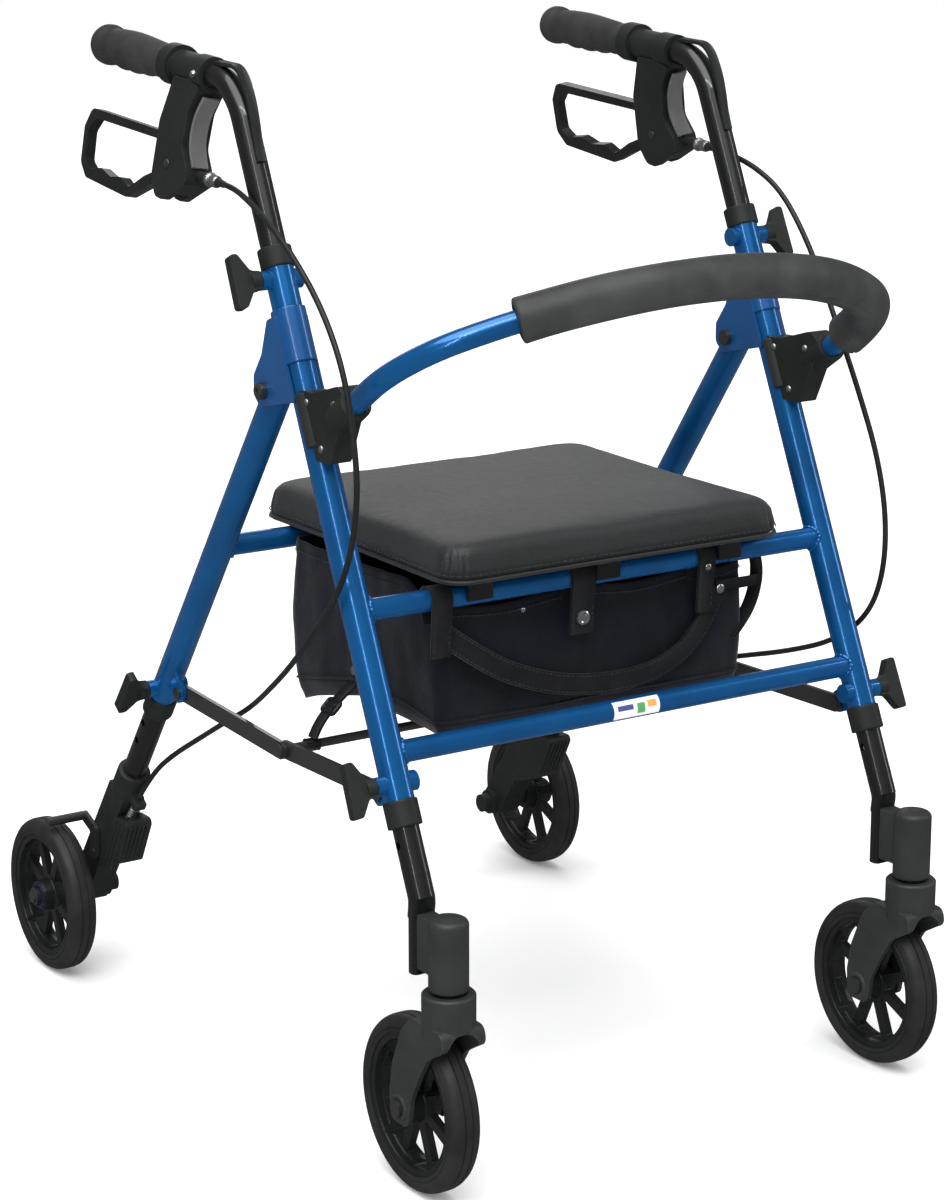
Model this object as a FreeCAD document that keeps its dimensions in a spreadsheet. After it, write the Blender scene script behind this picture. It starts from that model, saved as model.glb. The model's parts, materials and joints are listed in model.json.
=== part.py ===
"""Folding four-wheeled rollator walker with seat, bag, backrest, hand brakes and swivel casters.

Millimetres. +Z is up, -Y is the way the walker travels, +X is to the right when it is seen from
the front. The origin is on the floor, under the middle of the walker.
"""
import FreeCAD
import Part
import math
import os
import re
from FreeCAD import Placement, Rotation, Vector

doc = FreeCAD.newDocument("rollator")

# ---------------------------------------------------------------- driving dimensions
sheet = doc.addObject("Spreadsheet::Sheet", "Sizes")
DIMENSIONS = {
    # frame
    "leg_spacing": 484.0,
    "leg_outer": 25.4,
    "leg_bore": 23.0,
    "inner_tube": 22.2,
    "inner_tube_bore": 19.4,
    "rail_outer": 19.0,
    "rail_bore": 16.6,
    "front_lean": 24.4,
    "seat_rail_y": -213.0,
    "seat_rail_z": 469.0,
    "front_leg_below_rail": 157.0,
    "front_leg_above_rail": 292.0,
    "crossbar_below_rail": 118.6,
    "hinge_y": -91.0,
    "hinge_z": 634.0,
    "rear_leg_bottom": 291.0,
    "rear_rail_along": 492.4,
    "rear_leg_past_hinge": 14.0,
    "hinge_pin": 8.0,
    "running_gap": 0.08,
    "sheet_metal": 2.0,
    "cheek_gap": 26.6,
    # ferrules and knobs
    "ferrule_outer": 29.0,
    "ferrule_bore": 22.8,
    "lower_ferrule": 22.0,
    "upper_ferrule": 18.0,
    "boss_outer": 16.0,
    "boss_reach": 20.0,
    "nut_reach": 18.0,
    "stud": 6.0,
    "wing_thickness": 10.0,
    "height_hole": 6.8,
    # struts
    "strut_width": 16.0,
    "strut_thickness": 4.0,
    "strut_front_y": -247.0,
    "strut_front_z": 322.0,
    "strut_mid_y": -83.0,
    "strut_mid_z": 317.0,
    "strut_rear_y": 97.0,
    "strut_rear_z": 324.0,
    "rivet": 6.0,
    "cross_rod": 8.0,
    # seat and bag
    "seat_width": 350.0,
    "seat_depth": 324.0,
    "seat_overhang": 38.0,
    "board_inset": 14.0,
    "board_thickness": 6.0,
    "board_height": 17.0,
    "pad_thickness": 34.0,
    "clip_width": 24.0,
    "clip_spacing": 260.0,
    "bag_rear_width": 360.0,
    "bag_front_width": 322.0,
    "bag_front_y": -208.0,
    "bag_rear_y": 9.0,
    "bag_top": 455.0,
    "bag_bottom": 330.0,
    "bag_wall": 2.5,
    "strap_width": 20.0,
    "strap_thickness": 2.4,
    # backrest
    "hoop_tilt": 33.5,
    "hoop_base_y": -226.0,
    "hoop_base_z": 647.0,
    "hoop_half_width": 244.0,
    "hoop_depth": 172.0,
    "hoop_arm": 15.0,
    "hoop_corner": 110.0,
    "hoop_insertion": 32.0,
    "socket_outer": 27.0,
    "socket_bore": 19.6,
    "gusset_thickness": 20.0,
    "backrest_foam": 38.0,
    # handles
    "grip_slope": 4.0,
    "handle_bend": 55.0,
    "bend_y": -25.4,
    "bend_z": 883.1,
    "grip_end": 240.0,
    "handle_insertion": 150.0,
    "housing_splay": 10.0,
    "housing_thickness": 26.0,
    "lever_slot": 12.0,
    "lever_thickness": 9.6,
    "lever_pivot_along": 72.0,
    "lever_pivot_below": 82.0,
    "lever_pin": 7.0,
    "barrel": 9.0,
    # wheels and casters
    "wheel_radius": 75.0,
    "tyre_width": 27.0,
    "tyre_inner_radius": 60.0,
    "rim_web": 7.0,
    "rim_width": 23.0,
    "hub_width": 30.0,
    "hub_radius": 15.0,
    "spoke_count": 8.0,
    "spoke_width": 9.0,
    "axle_y": 307.5,
    "rear_wheel_x": 283.0,
    "rear_axle": 10.0,
    "front_axle": 8.0,
    "caster_stem_y": -351.0,
    "caster_trail": 44.0,
    "caster_stem": 18.0,
    "fork_width": 41.0,
    "fork_slot": 31.4,
    "fork_wheel_gap": 4.5,
    "stem_housing_outer": 33.0,
    "stem_housing_bottom": 188.0,
    "stem_housing_top": 250.0,
    "flat_end_y": -310.0,
    "flat_end_depth": 12.0,
    "flat_end_width": 21.0,
    # rear brake
    "bracket_thickness": 24.0,
    "arm_pivot_y": 266.0,
    "arm_pivot_z": 124.0,
    "brake_bar_y": 285.5,
    "brake_bar_z": 156.0,
    "brake_bar": 9.0,
    "arm_thickness": 4.0,
    # cables
    "cable": 5.0,
}
for row, (alias, value) in enumerate(DIMENSIONS.items(), start=1):
    sheet.set(f"A{row}", alias.replace("_", " "))
    sheet.set(f"B{row}", str(value))
    sheet.setAlias(f"B{row}", alias)
doc.recompute()

SIDES = (("left", -1), ("right", 1))
X_AXIS = Vector(1, 0, 0)
Y_AXIS = Vector(0, 1, 0)
Z_AXIS = Vector(0, 0, 1)
FACE_GAP = 0.3


def size(alias):
    """Value of one driving dimension."""
    return float(sheet.get(alias))


def sized(expression):
    """The same expression with every alias read from the sheet."""
    return re.sub(r"[a-z_]{3,}", lambda word: "Sizes." + word.group(), expression)


# ---------------------------------------------------------------- frames of the walker
leg_x = size("leg_spacing") / 2
front_lean = math.radians(size("front_lean"))
hinge = Vector(0, size("hinge_y"), size("hinge_z"))
rear_axle_point = Vector(0, size("axle_y"), size("wheel_radius"))
rear_lean = math.atan2(rear_axle_point.y - hinge.y, hinge.z - rear_axle_point.z)
seat_rail = Vector(0, size("seat_rail_y"), size("seat_rail_z"))
rear_leg_hinge = (hinge - rear_axle_point).Length
handle_bend = Vector(0, size("bend_y"), size("bend_z"))


def front_leg_point(along):
    """Point of the front leg's axis, measured up the leg from the seat rail."""
    return seat_rail + Vector(0, math.sin(front_lean), math.cos(front_lean)) * along


def rear_leg_point(along):
    """Point of the rear leg's axis, measured up the leg from the wheel axle."""
    return rear_axle_point + Vector(0, -math.sin(rear_lean), math.cos(rear_lean)) * along


def at(x, point, rotation=None):
    return Placement(Vector(x, point.y, point.z), rotation or Rotation())


def front_leg_frame(side, along=0.0):
    """Local Z runs up the front leg and local Y points to its rear."""
    return at(side * leg_x, front_leg_point(along), Rotation(X_AXIS, -math.degrees(front_lean)))


def rear_leg_frame(side, along=0.0):
    """Local Z runs up the rear leg and local Y points to its rear."""
    return at(side * leg_x, rear_leg_point(along), Rotation(X_AXIS, math.degrees(rear_lean)))


def handle_frame(side, splayed=True):
    """Local Y runs back along the grip from the bend; local Z is up, splayed for the brake."""
    slope = Rotation(X_AXIS, size("grip_slope"))
    splay = Rotation(Y_AXIS, -side * size("housing_splay") if splayed else 0.0)
    return at(side * leg_x, handle_bend, slope.multiply(splay))


# ---------------------------------------------------------------- building blocks
nodes = {}


def node(name, feature, placement=None):
    """Register a finished piece under its node name and set it in its place."""
    feature.Label = name
    if placement is not None:
        feature.Placement = placement
    nodes[name] = feature
    return feature


def bind(feature, **expressions):
    for name, expression in expressions.items():
        feature.setExpression(name, sized(expression))


def cylinder(radius, length, base=Vector(), direction=Z_AXIS):
    feature = doc.addObject("Part::Cylinder", "Round")
    bind(feature, Radius=radius, Height=length)
    feature.Placement = Placement(base, Rotation(Z_AXIS, direction))
    return feature


def box(width, depth, height, corner):
    feature = doc.addObject("Part::Box", "Block")
    bind(feature, Length=width, Width=depth, Height=height)
    feature.Placement = Placement(corner, Rotation())
    return feature


def fuse(*features):
    if len(features) == 1:
        return features[0]
    feature = doc.addObject("Part::MultiFuse", "Joined")
    feature.Shapes = list(features)
    feature.Refine = True
    return feature


def cut(base, *tools):
    feature = doc.addObject("Part::Cut", "Cut")
    feature.Base = base
    feature.Tool = fuse(*tools)
    feature.Refine = True
    return feature


def group(*features):
    feature = doc.addObject("Part::Compound", "Group")
    feature.Links = list(features)
    return feature


def solid(shape):
    feature = doc.addObject("Part::Feature", "Shaped")
    feature.Shape = shape
    return feature


def rounded_loop(corners, radius=0.0):
    """Closed outline of straight sides and tangent corner arcs; a corner may carry its own radius."""
    turns = []
    for index, corner in enumerate(corners):
        here = Vector(corner[0], corner[1], 0)
        corner_radius = corner[2] if len(corner) > 2 else radius
        following = corners[(index + 1) % len(corners)]
        back = (Vector(corners[index - 1][0], corners[index - 1][1], 0) - here).normalize()
        ahead = (Vector(following[0], following[1], 0) - here).normalize()
        half = back.getAngle(ahead) / 2
        reach = corner_radius / math.tan(half)
        inward = (back + ahead).normalize()
        crown = here + inward * (corner_radius / math.sin(half) - corner_radius)
        turns.append((here + back * reach, crown, here + ahead * reach))
    edges = []
    for index, (start, crown, end) in enumerate(turns):
        if (end - start).Length > 1e-6:
            edges.append(Part.ArcOfCircle(start, crown, end))
        following = turns[(index + 1) % len(turns)][0]
        if (following - end).Length > 1e-6:
            edges.append(Part.LineSegment(end, following))
    return edges


def circle_at(x, y, radius):
    return [Part.Circle(Vector(x, y, 0), Z_AXIS, radius)]


def sketch_in(body, role, *loops):
    """Sketch on one of the body's own origin planes."""
    sketch = body.newObject("Sketcher::SketchObject", "Outline")
    plane = [feature for feature in body.Origin.OriginFeatures if feature.Role == role][0]
    sketch.AttachmentSupport = [(plane, "")]
    sketch.MapMode = "FlatFace"
    for loop in loops:
        for edge in loop:
            sketch.addGeometry(edge, False)
    return sketch


def plate(thickness, *loops, role="YZ_Plane"):
    """Flat piece of the outline given by the loops, centred on its plane."""
    body = doc.addObject("PartDesign::Body", "Plate")
    pad = body.newObject("PartDesign::Pad", "Pad")
    pad.Profile = sketch_in(body, role, *loops)
    pad.Midplane = True
    bind(pad, Length=thickness)
    return body


def shifted(feature, x=0.0, y=0.0, z=0.0):
    feature.Placement = Placement(Vector(x, y, z), Rotation())
    return feature


def turned(corners, radius=0.0):
    """Round piece turned about Z from an outline of (radius, height) corners."""
    body = doc.addObject("PartDesign::Body", "Turned")
    revolution = body.newObject("PartDesign::Revolution", "Revolution")
    sketch = sketch_in(body, "XZ_Plane", rounded_loop(corners, radius))
    revolution.Profile = sketch
    revolution.ReferenceAxis = (sketch, ["V_Axis"])
    revolution.Angle = 360.0
    return body


def ring(outer, bore, length, start=0.0, edge=1.5):
    corners = [(bore, start), (outer, start, edge), (outer, start + length, edge), (bore, start + length)]
    return turned(corners)


def tube_sweep(path, radius, bore=0.0):
    """Solid of round section along a wire, hollow if it has a bore."""
    first = path.OrderedEdges[0]
    start = first.valueAt(first.FirstParameter)
    direction = first.tangentAt(first.FirstParameter)

    def sweep(section_radius):
        section = Part.Wire([Part.makeCircle(section_radius, start, direction)])
        return path.makePipeShell([section], True, True)

    shape = sweep(radius)
    if bore:
        shape = shape.cut(sweep(bore))
    return shape


def arc_run_path(points):
    """Straight runs joined by tangent arcs, each as large as its two runs allow."""
    edges = []
    radii = []
    place = points[0]
    for before, here, after in zip(points, points[1:], points[2:]):
        back = (before - here).normalize()
        ahead = (after - here).normalize()
        half_turn = (math.pi - back.getAngle(ahead)) / 2
        shorter = min((before - here).Length, (after - here).Length)
        radius = 0.45 * shorter / math.tan(half_turn)
        reach = 0.45 * shorter
        inward = (back + ahead).normalize()
        crown = here + inward * (radius / math.cos(half_turn) - radius)
        edges.append(Part.LineSegment(place, here + back * reach).toShape())
        edges.append(Part.Arc(here + back * reach, crown, here + ahead * reach).toShape())
        place = here + ahead * reach
        radii.append(radius)
    edges.append(Part.LineSegment(place, points[-1]).toShape())
    return Part.Wire(edges), radii


# ---------------------------------------------------------------- front legs and cross tubes
KNOB_UPPER = 283.0
KNOB_LOWER = -143.0
REAR_KNOB = 303.0


def knob_bosses(side, along):
    """Outboard boss for the clamp screw and inboard nut lug, welded to a leg."""
    outboard = cylinder("boss_outer / 2", "boss_reach", Vector(0, 0, along), X_AXIS * side)
    inboard = cylinder("boss_outer / 2 + 0.5", "nut_reach", Vector(0, 0, along), X_AXIS * -side)
    return outboard, inboard


def stud_hole(side, along):
    return cylinder("stud / 2 + 0.1", "boss_reach + 1", Vector(0, 0, along), X_AXIS * side)


def in_leg_frame(point, frame_origin, lean):
    """(to the rear, along) coordinates of a point in a leg's own frame."""
    offset = point - frame_origin
    rearward = Vector(0, math.cos(lean), -math.sin(lean))
    upward = Vector(0, math.sin(lean), math.cos(lean))
    return offset.dot(rearward), offset.dot(upward)


def strut_lug(pivot_rear, pivot_along, x_offset):
    """Plate from the leg to a strut pivot, with the pivot's bore."""
    reach = size("strut_width") / 2
    toward_leg = math.copysign(1.0, pivot_rear)
    outer = pivot_rear + toward_leg * reach
    corners = [(toward_leg * 8.0, pivot_along - 9.0, 0.0), (outer, pivot_along - 9.0, 8.0),
               (outer, pivot_along + 9.0, 8.0), (toward_leg * 8.0, pivot_along + 16.0, 0.0)]
    bore = circle_at(pivot_rear, pivot_along, size("rivet") / 2 + size("running_gap"))
    return shifted(plate("strut_thickness", rounded_loop(corners), bore), x=x_offset)


front_pivot = Vector(0, size("strut_front_y"), size("strut_front_z"))
mid_pivot = Vector(0, size("strut_mid_y"), size("strut_mid_z"))
rear_pivot = Vector(0, size("strut_rear_y"), size("strut_rear_z"))
REAR_STRUT_LAYER = 4.4
FRONT_STRUT_LAYER = -4.4

for name, side in SIDES:
    below = size("front_leg_below_rail")
    pivot_rear, pivot_along = in_leg_frame(front_pivot, seat_rail, front_lean)
    outer = cylinder("leg_outer / 2", "front_leg_below_rail + front_leg_above_rail", Vector(0, 0, -below))
    welded = fuse(outer, *knob_bosses(side, KNOB_UPPER), *knob_bosses(side, KNOB_LOWER),
                  strut_lug(pivot_rear, pivot_along, 0.0))
    bore = cylinder("leg_bore / 2", "front_leg_below_rail + front_leg_above_rail + 2",
                    Vector(0, 0, -below - 1))
    leg = cut(welded, bore, stud_hole(side, KNOB_UPPER), stud_hole(side, KNOB_LOWER))
    node(f"front_leg_{name}", leg, front_leg_frame(side))


def cross_tube(node_name, point, lean_rotation):
    """Tube between the left and right legs, coped to sit on both."""
    length = "leg_spacing - leg_outer / 2"
    start = Vector(-(leg_x - size("leg_outer") / 4), point.y, point.z)
    tube = cut(cylinder("rail_outer / 2", length, start, X_AXIS),
               cylinder("rail_bore / 2", length, start, X_AXIS))
    tools = []
    for _, side in SIDES:
        leg_space = cylinder("leg_outer / 2", "100")
        offset = lean_rotation.multVec(Vector(0, 0, -50))
        leg_space.Placement = Placement(Vector(side * leg_x, point.y, point.z) + offset, lean_rotation)
        tools.append(leg_space)
    return node(node_name, cut(tube, *tools))


front_rotation = Rotation(X_AXIS, -math.degrees(front_lean))
rear_rotation = Rotation(X_AXIS, math.degrees(rear_lean))
cross_tube("seat_rail_front", seat_rail, front_rotation)
cross_tube("lower_crossbar", front_leg_point(-size("crossbar_below_rail")), front_rotation)
cross_tube("seat_rail_rear", rear_leg_point(size("rear_rail_along")), rear_rotation)


# ---------------------------------------------------------------- rear legs
for name, side in SIDES:
    # in the rear frame the leg leans the other way, so the lug lies on the leg's front
    pivot_rear, pivot_along = in_leg_frame(rear_pivot, rear_axle_point, -rear_lean)
    top = rear_leg_hinge + size("rear_leg_past_hinge")
    bottom = size("rear_leg_bottom")
    outer = cylinder("leg_outer / 2", f"{top - bottom}", Vector(0, 0, bottom))
    welded = fuse(outer, *knob_bosses(side, REAR_KNOB),
                  strut_lug(pivot_rear, pivot_along, side * REAR_STRUT_LAYER))
    bore = cylinder("leg_bore / 2", f"{top - bottom + 2}", Vector(0, 0, bottom - 1))
    pin_bore = cylinder("hinge_pin / 2 + running_gap", "leg_outer + 2",
                        Vector(-size("leg_outer") / 2 - 1, 0, rear_leg_hinge), X_AXIS)
    leg = cut(welded, bore, stud_hole(side, REAR_KNOB), pin_bore)
    node(f"rear_leg_{name}", leg, rear_leg_frame(side))


# ---------------------------------------------------------------- ferrules
def ferrule(frame, height, start):
    feature = ring(size("ferrule_outer") / 2, size("ferrule_bore") / 2, height, start)
    feature.Placement = frame
    return feature


lower = size("lower_ferrule")
front_ferrules = [ferrule(front_leg_frame(side), lower, -size("front_leg_below_rail") - lower)
                  for _, side in SIDES]
front_ferrules += [ferrule(front_leg_frame(side), size("upper_ferrule"), size("front_leg_above_rail"))
                   for _, side in SIDES]
node("front_leg_ferrules", group(*front_ferrules))
rear_ferrules = [ferrule(rear_leg_frame(side), lower, size("rear_leg_bottom") - lower)
                 for _, side in SIDES]
node("rear_leg_ferrules", group(*rear_ferrules))


# ---------------------------------------------------------------- folding hinge at the top
def hinge_bracket(side):
    """Sleeve on the front leg with a folded channel whose cheeks hold the rear leg's pin."""
    cheek_corners = [(-112, 700), (-98, 694), (-88, 664, 10), (-74, 645, 6), (-74, 628, 8),
                     (-84, 619, 6), (-122, 628), (-143, 632)]
    pin_hole = circle_at(hinge.y, hinge.z, size("hinge_pin") / 2)
    reach = (size("cheek_gap") + size("sheet_metal")) / 2
    cheeks = [shifted(plate("sheet_metal", rounded_loop(cheek_corners, 2), pin_hole), x=layer * reach)
              for layer in (-1, 1)]
    web_corners = [(-101, 694), (-98, 694), (-88, 664), (-91, 664)]
    web = plate("cheek_gap", rounded_loop(web_corners))
    sleeve = ring(14.8, size("leg_outer") / 2, 47.0, 210.0, 1.0)
    sleeve.Placement = Placement(Vector(0, seat_rail.y, seat_rail.z), front_rotation)
    joined = fuse(*cheeks, web, sleeve)
    space = cylinder("leg_outer / 2", "200")
    base = front_leg_point(130)
    space.Placement = Placement(base, front_rotation)
    bracket = cut(joined, space)
    bracket.Placement = Placement(Vector(side * leg_x, 0, 0), Rotation())
    return bracket


def bolt(shank, grip, head, head_height):
    """Bolt along X with a head at each end, centred on the origin."""
    half = grip / 2
    body = fuse(cylinder(f"{shank / 2}", f"{grip + 2 * head_height - 1}",
                         Vector(-half - head_height + 0.5, 0, 0), X_AXIS),
                cylinder(f"{head / 2}", f"{head_height}", Vector(half, 0, 0), X_AXIS),
                cylinder(f"{head / 2}", f"{head_height}", Vector(-half, 0, 0), X_AXIS * -1))
    return body


node("hinge_brackets", group(*[hinge_bracket(side) for _, side in SIDES]))
hinge_bolts = []
for _, side in SIDES:
    pin = bolt(size("hinge_pin"), size("cheek_gap") + 2 * size("sheet_metal"), 14.0, 4.5)
    pin.Placement = at(side * leg_x, hinge)
    hinge_bolts.append(pin)
node("hinge_bolts", group(*hinge_bolts))


# ---------------------------------------------------------------- backrest
hoop_tilt = math.radians(size("hoop_tilt"))
hoop_base = Vector(0, size("hoop_base_y"), size("hoop_base_z"))
hoop_forward = Vector(0, -math.cos(hoop_tilt), math.sin(hoop_tilt))


def hoop_point(x, forward):
    """Point of the backrest's plane, measured forward and up from its two sockets."""
    return hoop_base + hoop_forward * forward + X_AXIS * x


def backrest_bracket(side):
    """Gusset on the front leg with the socket that the backrest plugs into."""
    gusset = plate("gusset_thickness", rounded_loop(
        [(-140, 642, 0), (-163, 643), (-204, 655, 8), (-222, 641, 5), (-208, 626), (-190, 588, 4),
         (-164, 588, 0)], 3))
    collar = ring(16.2, 10.0, 46.0, 138.0, 1.5)
    collar.Placement = Placement(seat_rail, front_rotation)
    keep = box("60", "51", "200", Vector())
    keep.Placement = Placement(seat_rail + front_rotation.multVec(Vector(-30, -57, 100)), front_rotation)
    front_half = doc.addObject("Part::Common", "FrontHalf")
    front_half.Base = collar
    front_half.Tool = keep
    shift = size("hoop_half_width") - leg_x
    socket = cylinder("socket_outer / 2", "30", hoop_point(side * shift, -38), hoop_forward)
    bore = cylinder("socket_bore / 2", "60", hoop_point(side * shift, -33), hoop_forward)
    leg = cylinder("leg_outer / 2", "200")
    leg.Placement = Placement(front_leg_point(100), front_rotation)
    bracket = cut(fuse(gusset, front_half, socket), bore, leg)
    bracket.Placement = Placement(Vector(side * leg_x, 0, 0), Rotation())
    return bracket


node("backrest_brackets", group(*[backrest_bracket(side) for _, side in SIDES]))


def hoop_geometry():
    """Corner centre, crown radius and crown centre of the three-arc hoop."""
    corner = size("hoop_corner")
    corner_x = size("hoop_half_width") - corner
    corner_forward = size("hoop_arm")
    gap = size("hoop_depth") - corner_forward
    # the crown arc touches both corner arcs and reaches the hoop's full depth
    crown = (corner_x ** 2 + gap ** 2 - corner ** 2) / (2 * (gap - corner))
    return corner_x, corner_forward, corner, crown


def hoop_path(left_end, right_end):
    """Wire of the hoop; each end is 'socket' for the full arm, or where the foam stops."""
    corner_x, corner_forward, corner, crown = hoop_geometry()
    crown_centre = size("hoop_depth") - crown
    lean_out = math.atan2(corner_x, corner_forward - crown_centre)

    def crown_point(angle):
        return hoop_point(crown * math.sin(angle), crown_centre + crown * math.cos(angle))

    def corner_point(side, angle):
        x = corner_x + corner * math.sin(angle)
        return hoop_point(side * x, corner_forward + corner * math.cos(angle))

    half = size("hoop_half_width")
    middle = (lean_out + math.pi / 2) / 2
    edges = []
    if left_end == "socket":
        edges.append(Part.LineSegment(hoop_point(-half, -size("hoop_insertion")),
                                      hoop_point(-half, corner_forward)).toShape())
        edges.append(Part.Arc(corner_point(-1, math.pi / 2), corner_point(-1, middle),
                              corner_point(-1, lean_out)).toShape())
        crown_start = -lean_out
    else:
        crown_start = -math.asin(left_end / crown)
    edges.append(Part.Arc(crown_point(crown_start), crown_point((crown_start + lean_out) / 2),
                          crown_point(lean_out)).toShape())
    edges.append(Part.Arc(corner_point(1, lean_out), corner_point(1, middle),
                          corner_point(1, math.pi / 2)).toShape())
    if right_end == "socket":
        edges.append(Part.LineSegment(hoop_point(half, corner_forward),
                                      hoop_point(half, -size("hoop_insertion"))).toShape())
    return Part.Wire(edges)


node("backrest_tube", solid(tube_sweep(hoop_path("socket", "socket"), size("rail_outer") / 2,
                                       size("rail_bore") / 2)))
FOAM_LEFT_END = 165.0
node("backrest_pad", solid(tube_sweep(hoop_path(FOAM_LEFT_END, "corner"), size("backrest_foam") / 2,
                                      size("rail_outer") / 2 + 0.1)))


# ---------------------------------------------------------------- seat
seat_frame = Placement(seat_rail, Rotation())


def centred_rectangle(width, front, depth, radius):
    half = width / 2
    return rounded_loop([(-half, front), (half, front), (half, front + depth), (-half, front + depth)],
                        radius)


def seat_body(width, front, depth, radius, height, thickness, fillets=()):
    """Upright pad of a rounded rectangle; fillets are (radius, heights of the edges they round)."""
    body = doc.addObject("PartDesign::Body", "SeatPiece")
    pad = body.newObject("PartDesign::Pad", "Pad")
    pad.Profile = sketch_in(body, "XY_Plane", centred_rectangle(width, front, depth, radius))
    pad.Profile[0].AttachmentOffset = Placement(Vector(0, 0, height), Rotation())
    bind(pad, Length=thickness)
    doc.recompute()
    for fillet_radius, level in fillets:
        edges = [f"Edge{index}" for index, edge in enumerate(body.Tip.Shape.Edges, start=1)
                 if abs(edge.BoundBox.ZMin - level) < 0.01 and abs(edge.BoundBox.ZMax - level) < 0.01]
        fillet = body.newObject("PartDesign::Fillet", "Fillet")
        fillet.Base = (body.Tip if body.Tip != fillet else pad, edges)
        fillet.Radius = fillet_radius
        doc.recompute()
    return body


inset = size("board_inset")
board_level = size("board_height")
pad_top = board_level + size("pad_thickness")
board = seat_body(size("seat_width") - 2 * inset, -size("seat_overhang") + inset,
                  size("seat_depth") - 2 * inset, 14.0, board_level, "board_thickness")
cushion = seat_body(size("seat_width"), -size("seat_overhang"), size("seat_depth"), 24.0,
                    board_level, "pad_thickness", fillets=((11.0, pad_top), (5.0, board_level)))
recess = seat_body(size("seat_width") - 2 * inset, -size("seat_overhang") + inset,
                   size("seat_depth") - 2 * inset, 14.0, board_level, "board_thickness")
node("seat_board", board, seat_frame)
node("seat_pad", cut(cushion, recess), seat_frame)


def seat_clip(x):
    """Saddle under the seat board that snaps over the front seat rail and turns on it."""
    block = box("clip_width", "27", "board_height + 3", Vector(x - size("clip_width") / 2, -13.5, -3))
    rail = cylinder("rail_outer / 2 + 0.4", "clip_width + 2",
                    Vector(x - size("clip_width") / 2 - 1, 0, 0), X_AXIS)
    return cut(block, rail)


spacing = size("clip_spacing") / 2
node("seat_clips", group(*[seat_clip(x) for x in (-spacing, 0.0, spacing)]), seat_frame)


# ---------------------------------------------------------------- bag and its pull straps
def bag_shape(inset, top):
    """Block of the bag's plan, narrower in front, above its stepped bottom."""
    front = size("bag_front_y") + inset
    rear = size("bag_rear_y") - inset
    plan = rounded_loop([(-size("bag_rear_width") / 2 + inset, rear, 6),
                         (-size("bag_front_width") / 2 + inset, front, 40),
                         (size("bag_front_width") / 2 - inset, front, 40),
                         (size("bag_rear_width") / 2 - inset, rear, 6)])
    body = doc.addObject("PartDesign::Body", "BagBlock")
    pad = body.newObject("PartDesign::Pad", "Pad")
    sketch = sketch_in(body, "XY_Plane", plan)
    bottom = size("bag_bottom") + inset
    sketch.AttachmentOffset = Placement(Vector(0, 0, bottom), Rotation())
    pad.Profile = sketch
    pad.Length = top - bottom
    doc.recompute()
    under = rounded_loop([(-400, bottom - 20), (-18, bottom - 20), (-22, bottom, 10),
                          (-98, bottom + 32, 30), (front - 8, bottom + 38), (-400, bottom + 38)])
    pocket = body.newObject("PartDesign::Pocket", "Rise")
    pocket.Profile = sketch_in(body, "YZ_Plane", under)
    pocket.Midplane = True
    pocket.Length = 2 * size("bag_rear_width")
    body.Tip = pocket
    return body


wall = size("bag_wall")
node("bag", cut(bag_shape(0.0, size("bag_top")), bag_shape(wall, size("bag_top") + 5)))

STRAP_FOOT_X = 202.0
STRAP_TOP_X = 160.0
strap_foot = size("strut_mid_z") + size("cross_rod") / 2
strap_top = size("bag_bottom") + 24.6
straps = []
for _, side in SIDES:
    half = size("strap_width") / 2
    foot = side * STRAP_FOOT_X
    top = side * STRAP_TOP_X
    slanted = rounded_loop([(foot - half, strap_foot, 0), (foot + half, strap_foot, 0),
                            (top + half, strap_top, 0), (top - half, strap_top, 0)])
    straps.append(shifted(plate("strap_thickness", slanted, role="XZ_Plane"), y=size("strut_mid_y")))
node("pull_straps", group(*straps))


# ---------------------------------------------------------------- folding struts
def strut(side, start, end, layer, far_layer):
    """Flat bar between two pivots, with the rivet that holds it to its leg."""
    run = end - start
    length = run.Length
    half = size("strut_width") / 2
    bar_loop = rounded_loop([(-half, -half), (length + half, -half), (length + half, half), (-half, half)],
                            half - 0.01)
    bar = shifted(plate("strut_thickness", bar_loop, circle_at(length, 0, 4.5)), x=layer * side)
    thickness = size("strut_thickness")
    toward_lug = math.copysign(1.0, far_layer - layer)
    lug_face = far_layer + toward_lug * (thickness / 2 + FACE_GAP)
    back_face = layer - toward_lug * thickness / 2
    shank_length = abs(lug_face - back_face)
    outward = X_AXIS * side * toward_lug
    shank = cylinder("rivet / 2", f"{shank_length}", Vector(side * back_face, 0, 0), outward)
    far_head = cylinder("rivet / 2 + 2.5", "1.6", Vector(side * lug_face, 0, 0), outward)
    near_head = cylinder("rivet / 2 + 2.5", "1.6", Vector(side * back_face, 0, 0), outward * -1)
    piece = fuse(bar, shank, far_head, near_head)
    angle = math.degrees(math.atan2(run.z, run.y))
    piece.Placement = at(side * leg_x, start, Rotation(X_AXIS, angle))
    return piece


node("front_struts", group(*[strut(side, front_pivot, mid_pivot, FRONT_STRUT_LAYER, 0.0)
                             for _, side in SIDES]))
node("rear_struts", group(*[strut(side, rear_pivot, mid_pivot, 0.0, REAR_STRUT_LAYER)
                            for _, side in SIDES]))
rod_half = leg_x + FRONT_STRUT_LAYER - size("strut_thickness") / 2
node("strut_cross_rod", cylinder("cross_rod / 2", f"{2 * rod_half}",
                                 Vector(-rod_half, mid_pivot.y, mid_pivot.z), X_AXIS))


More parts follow.
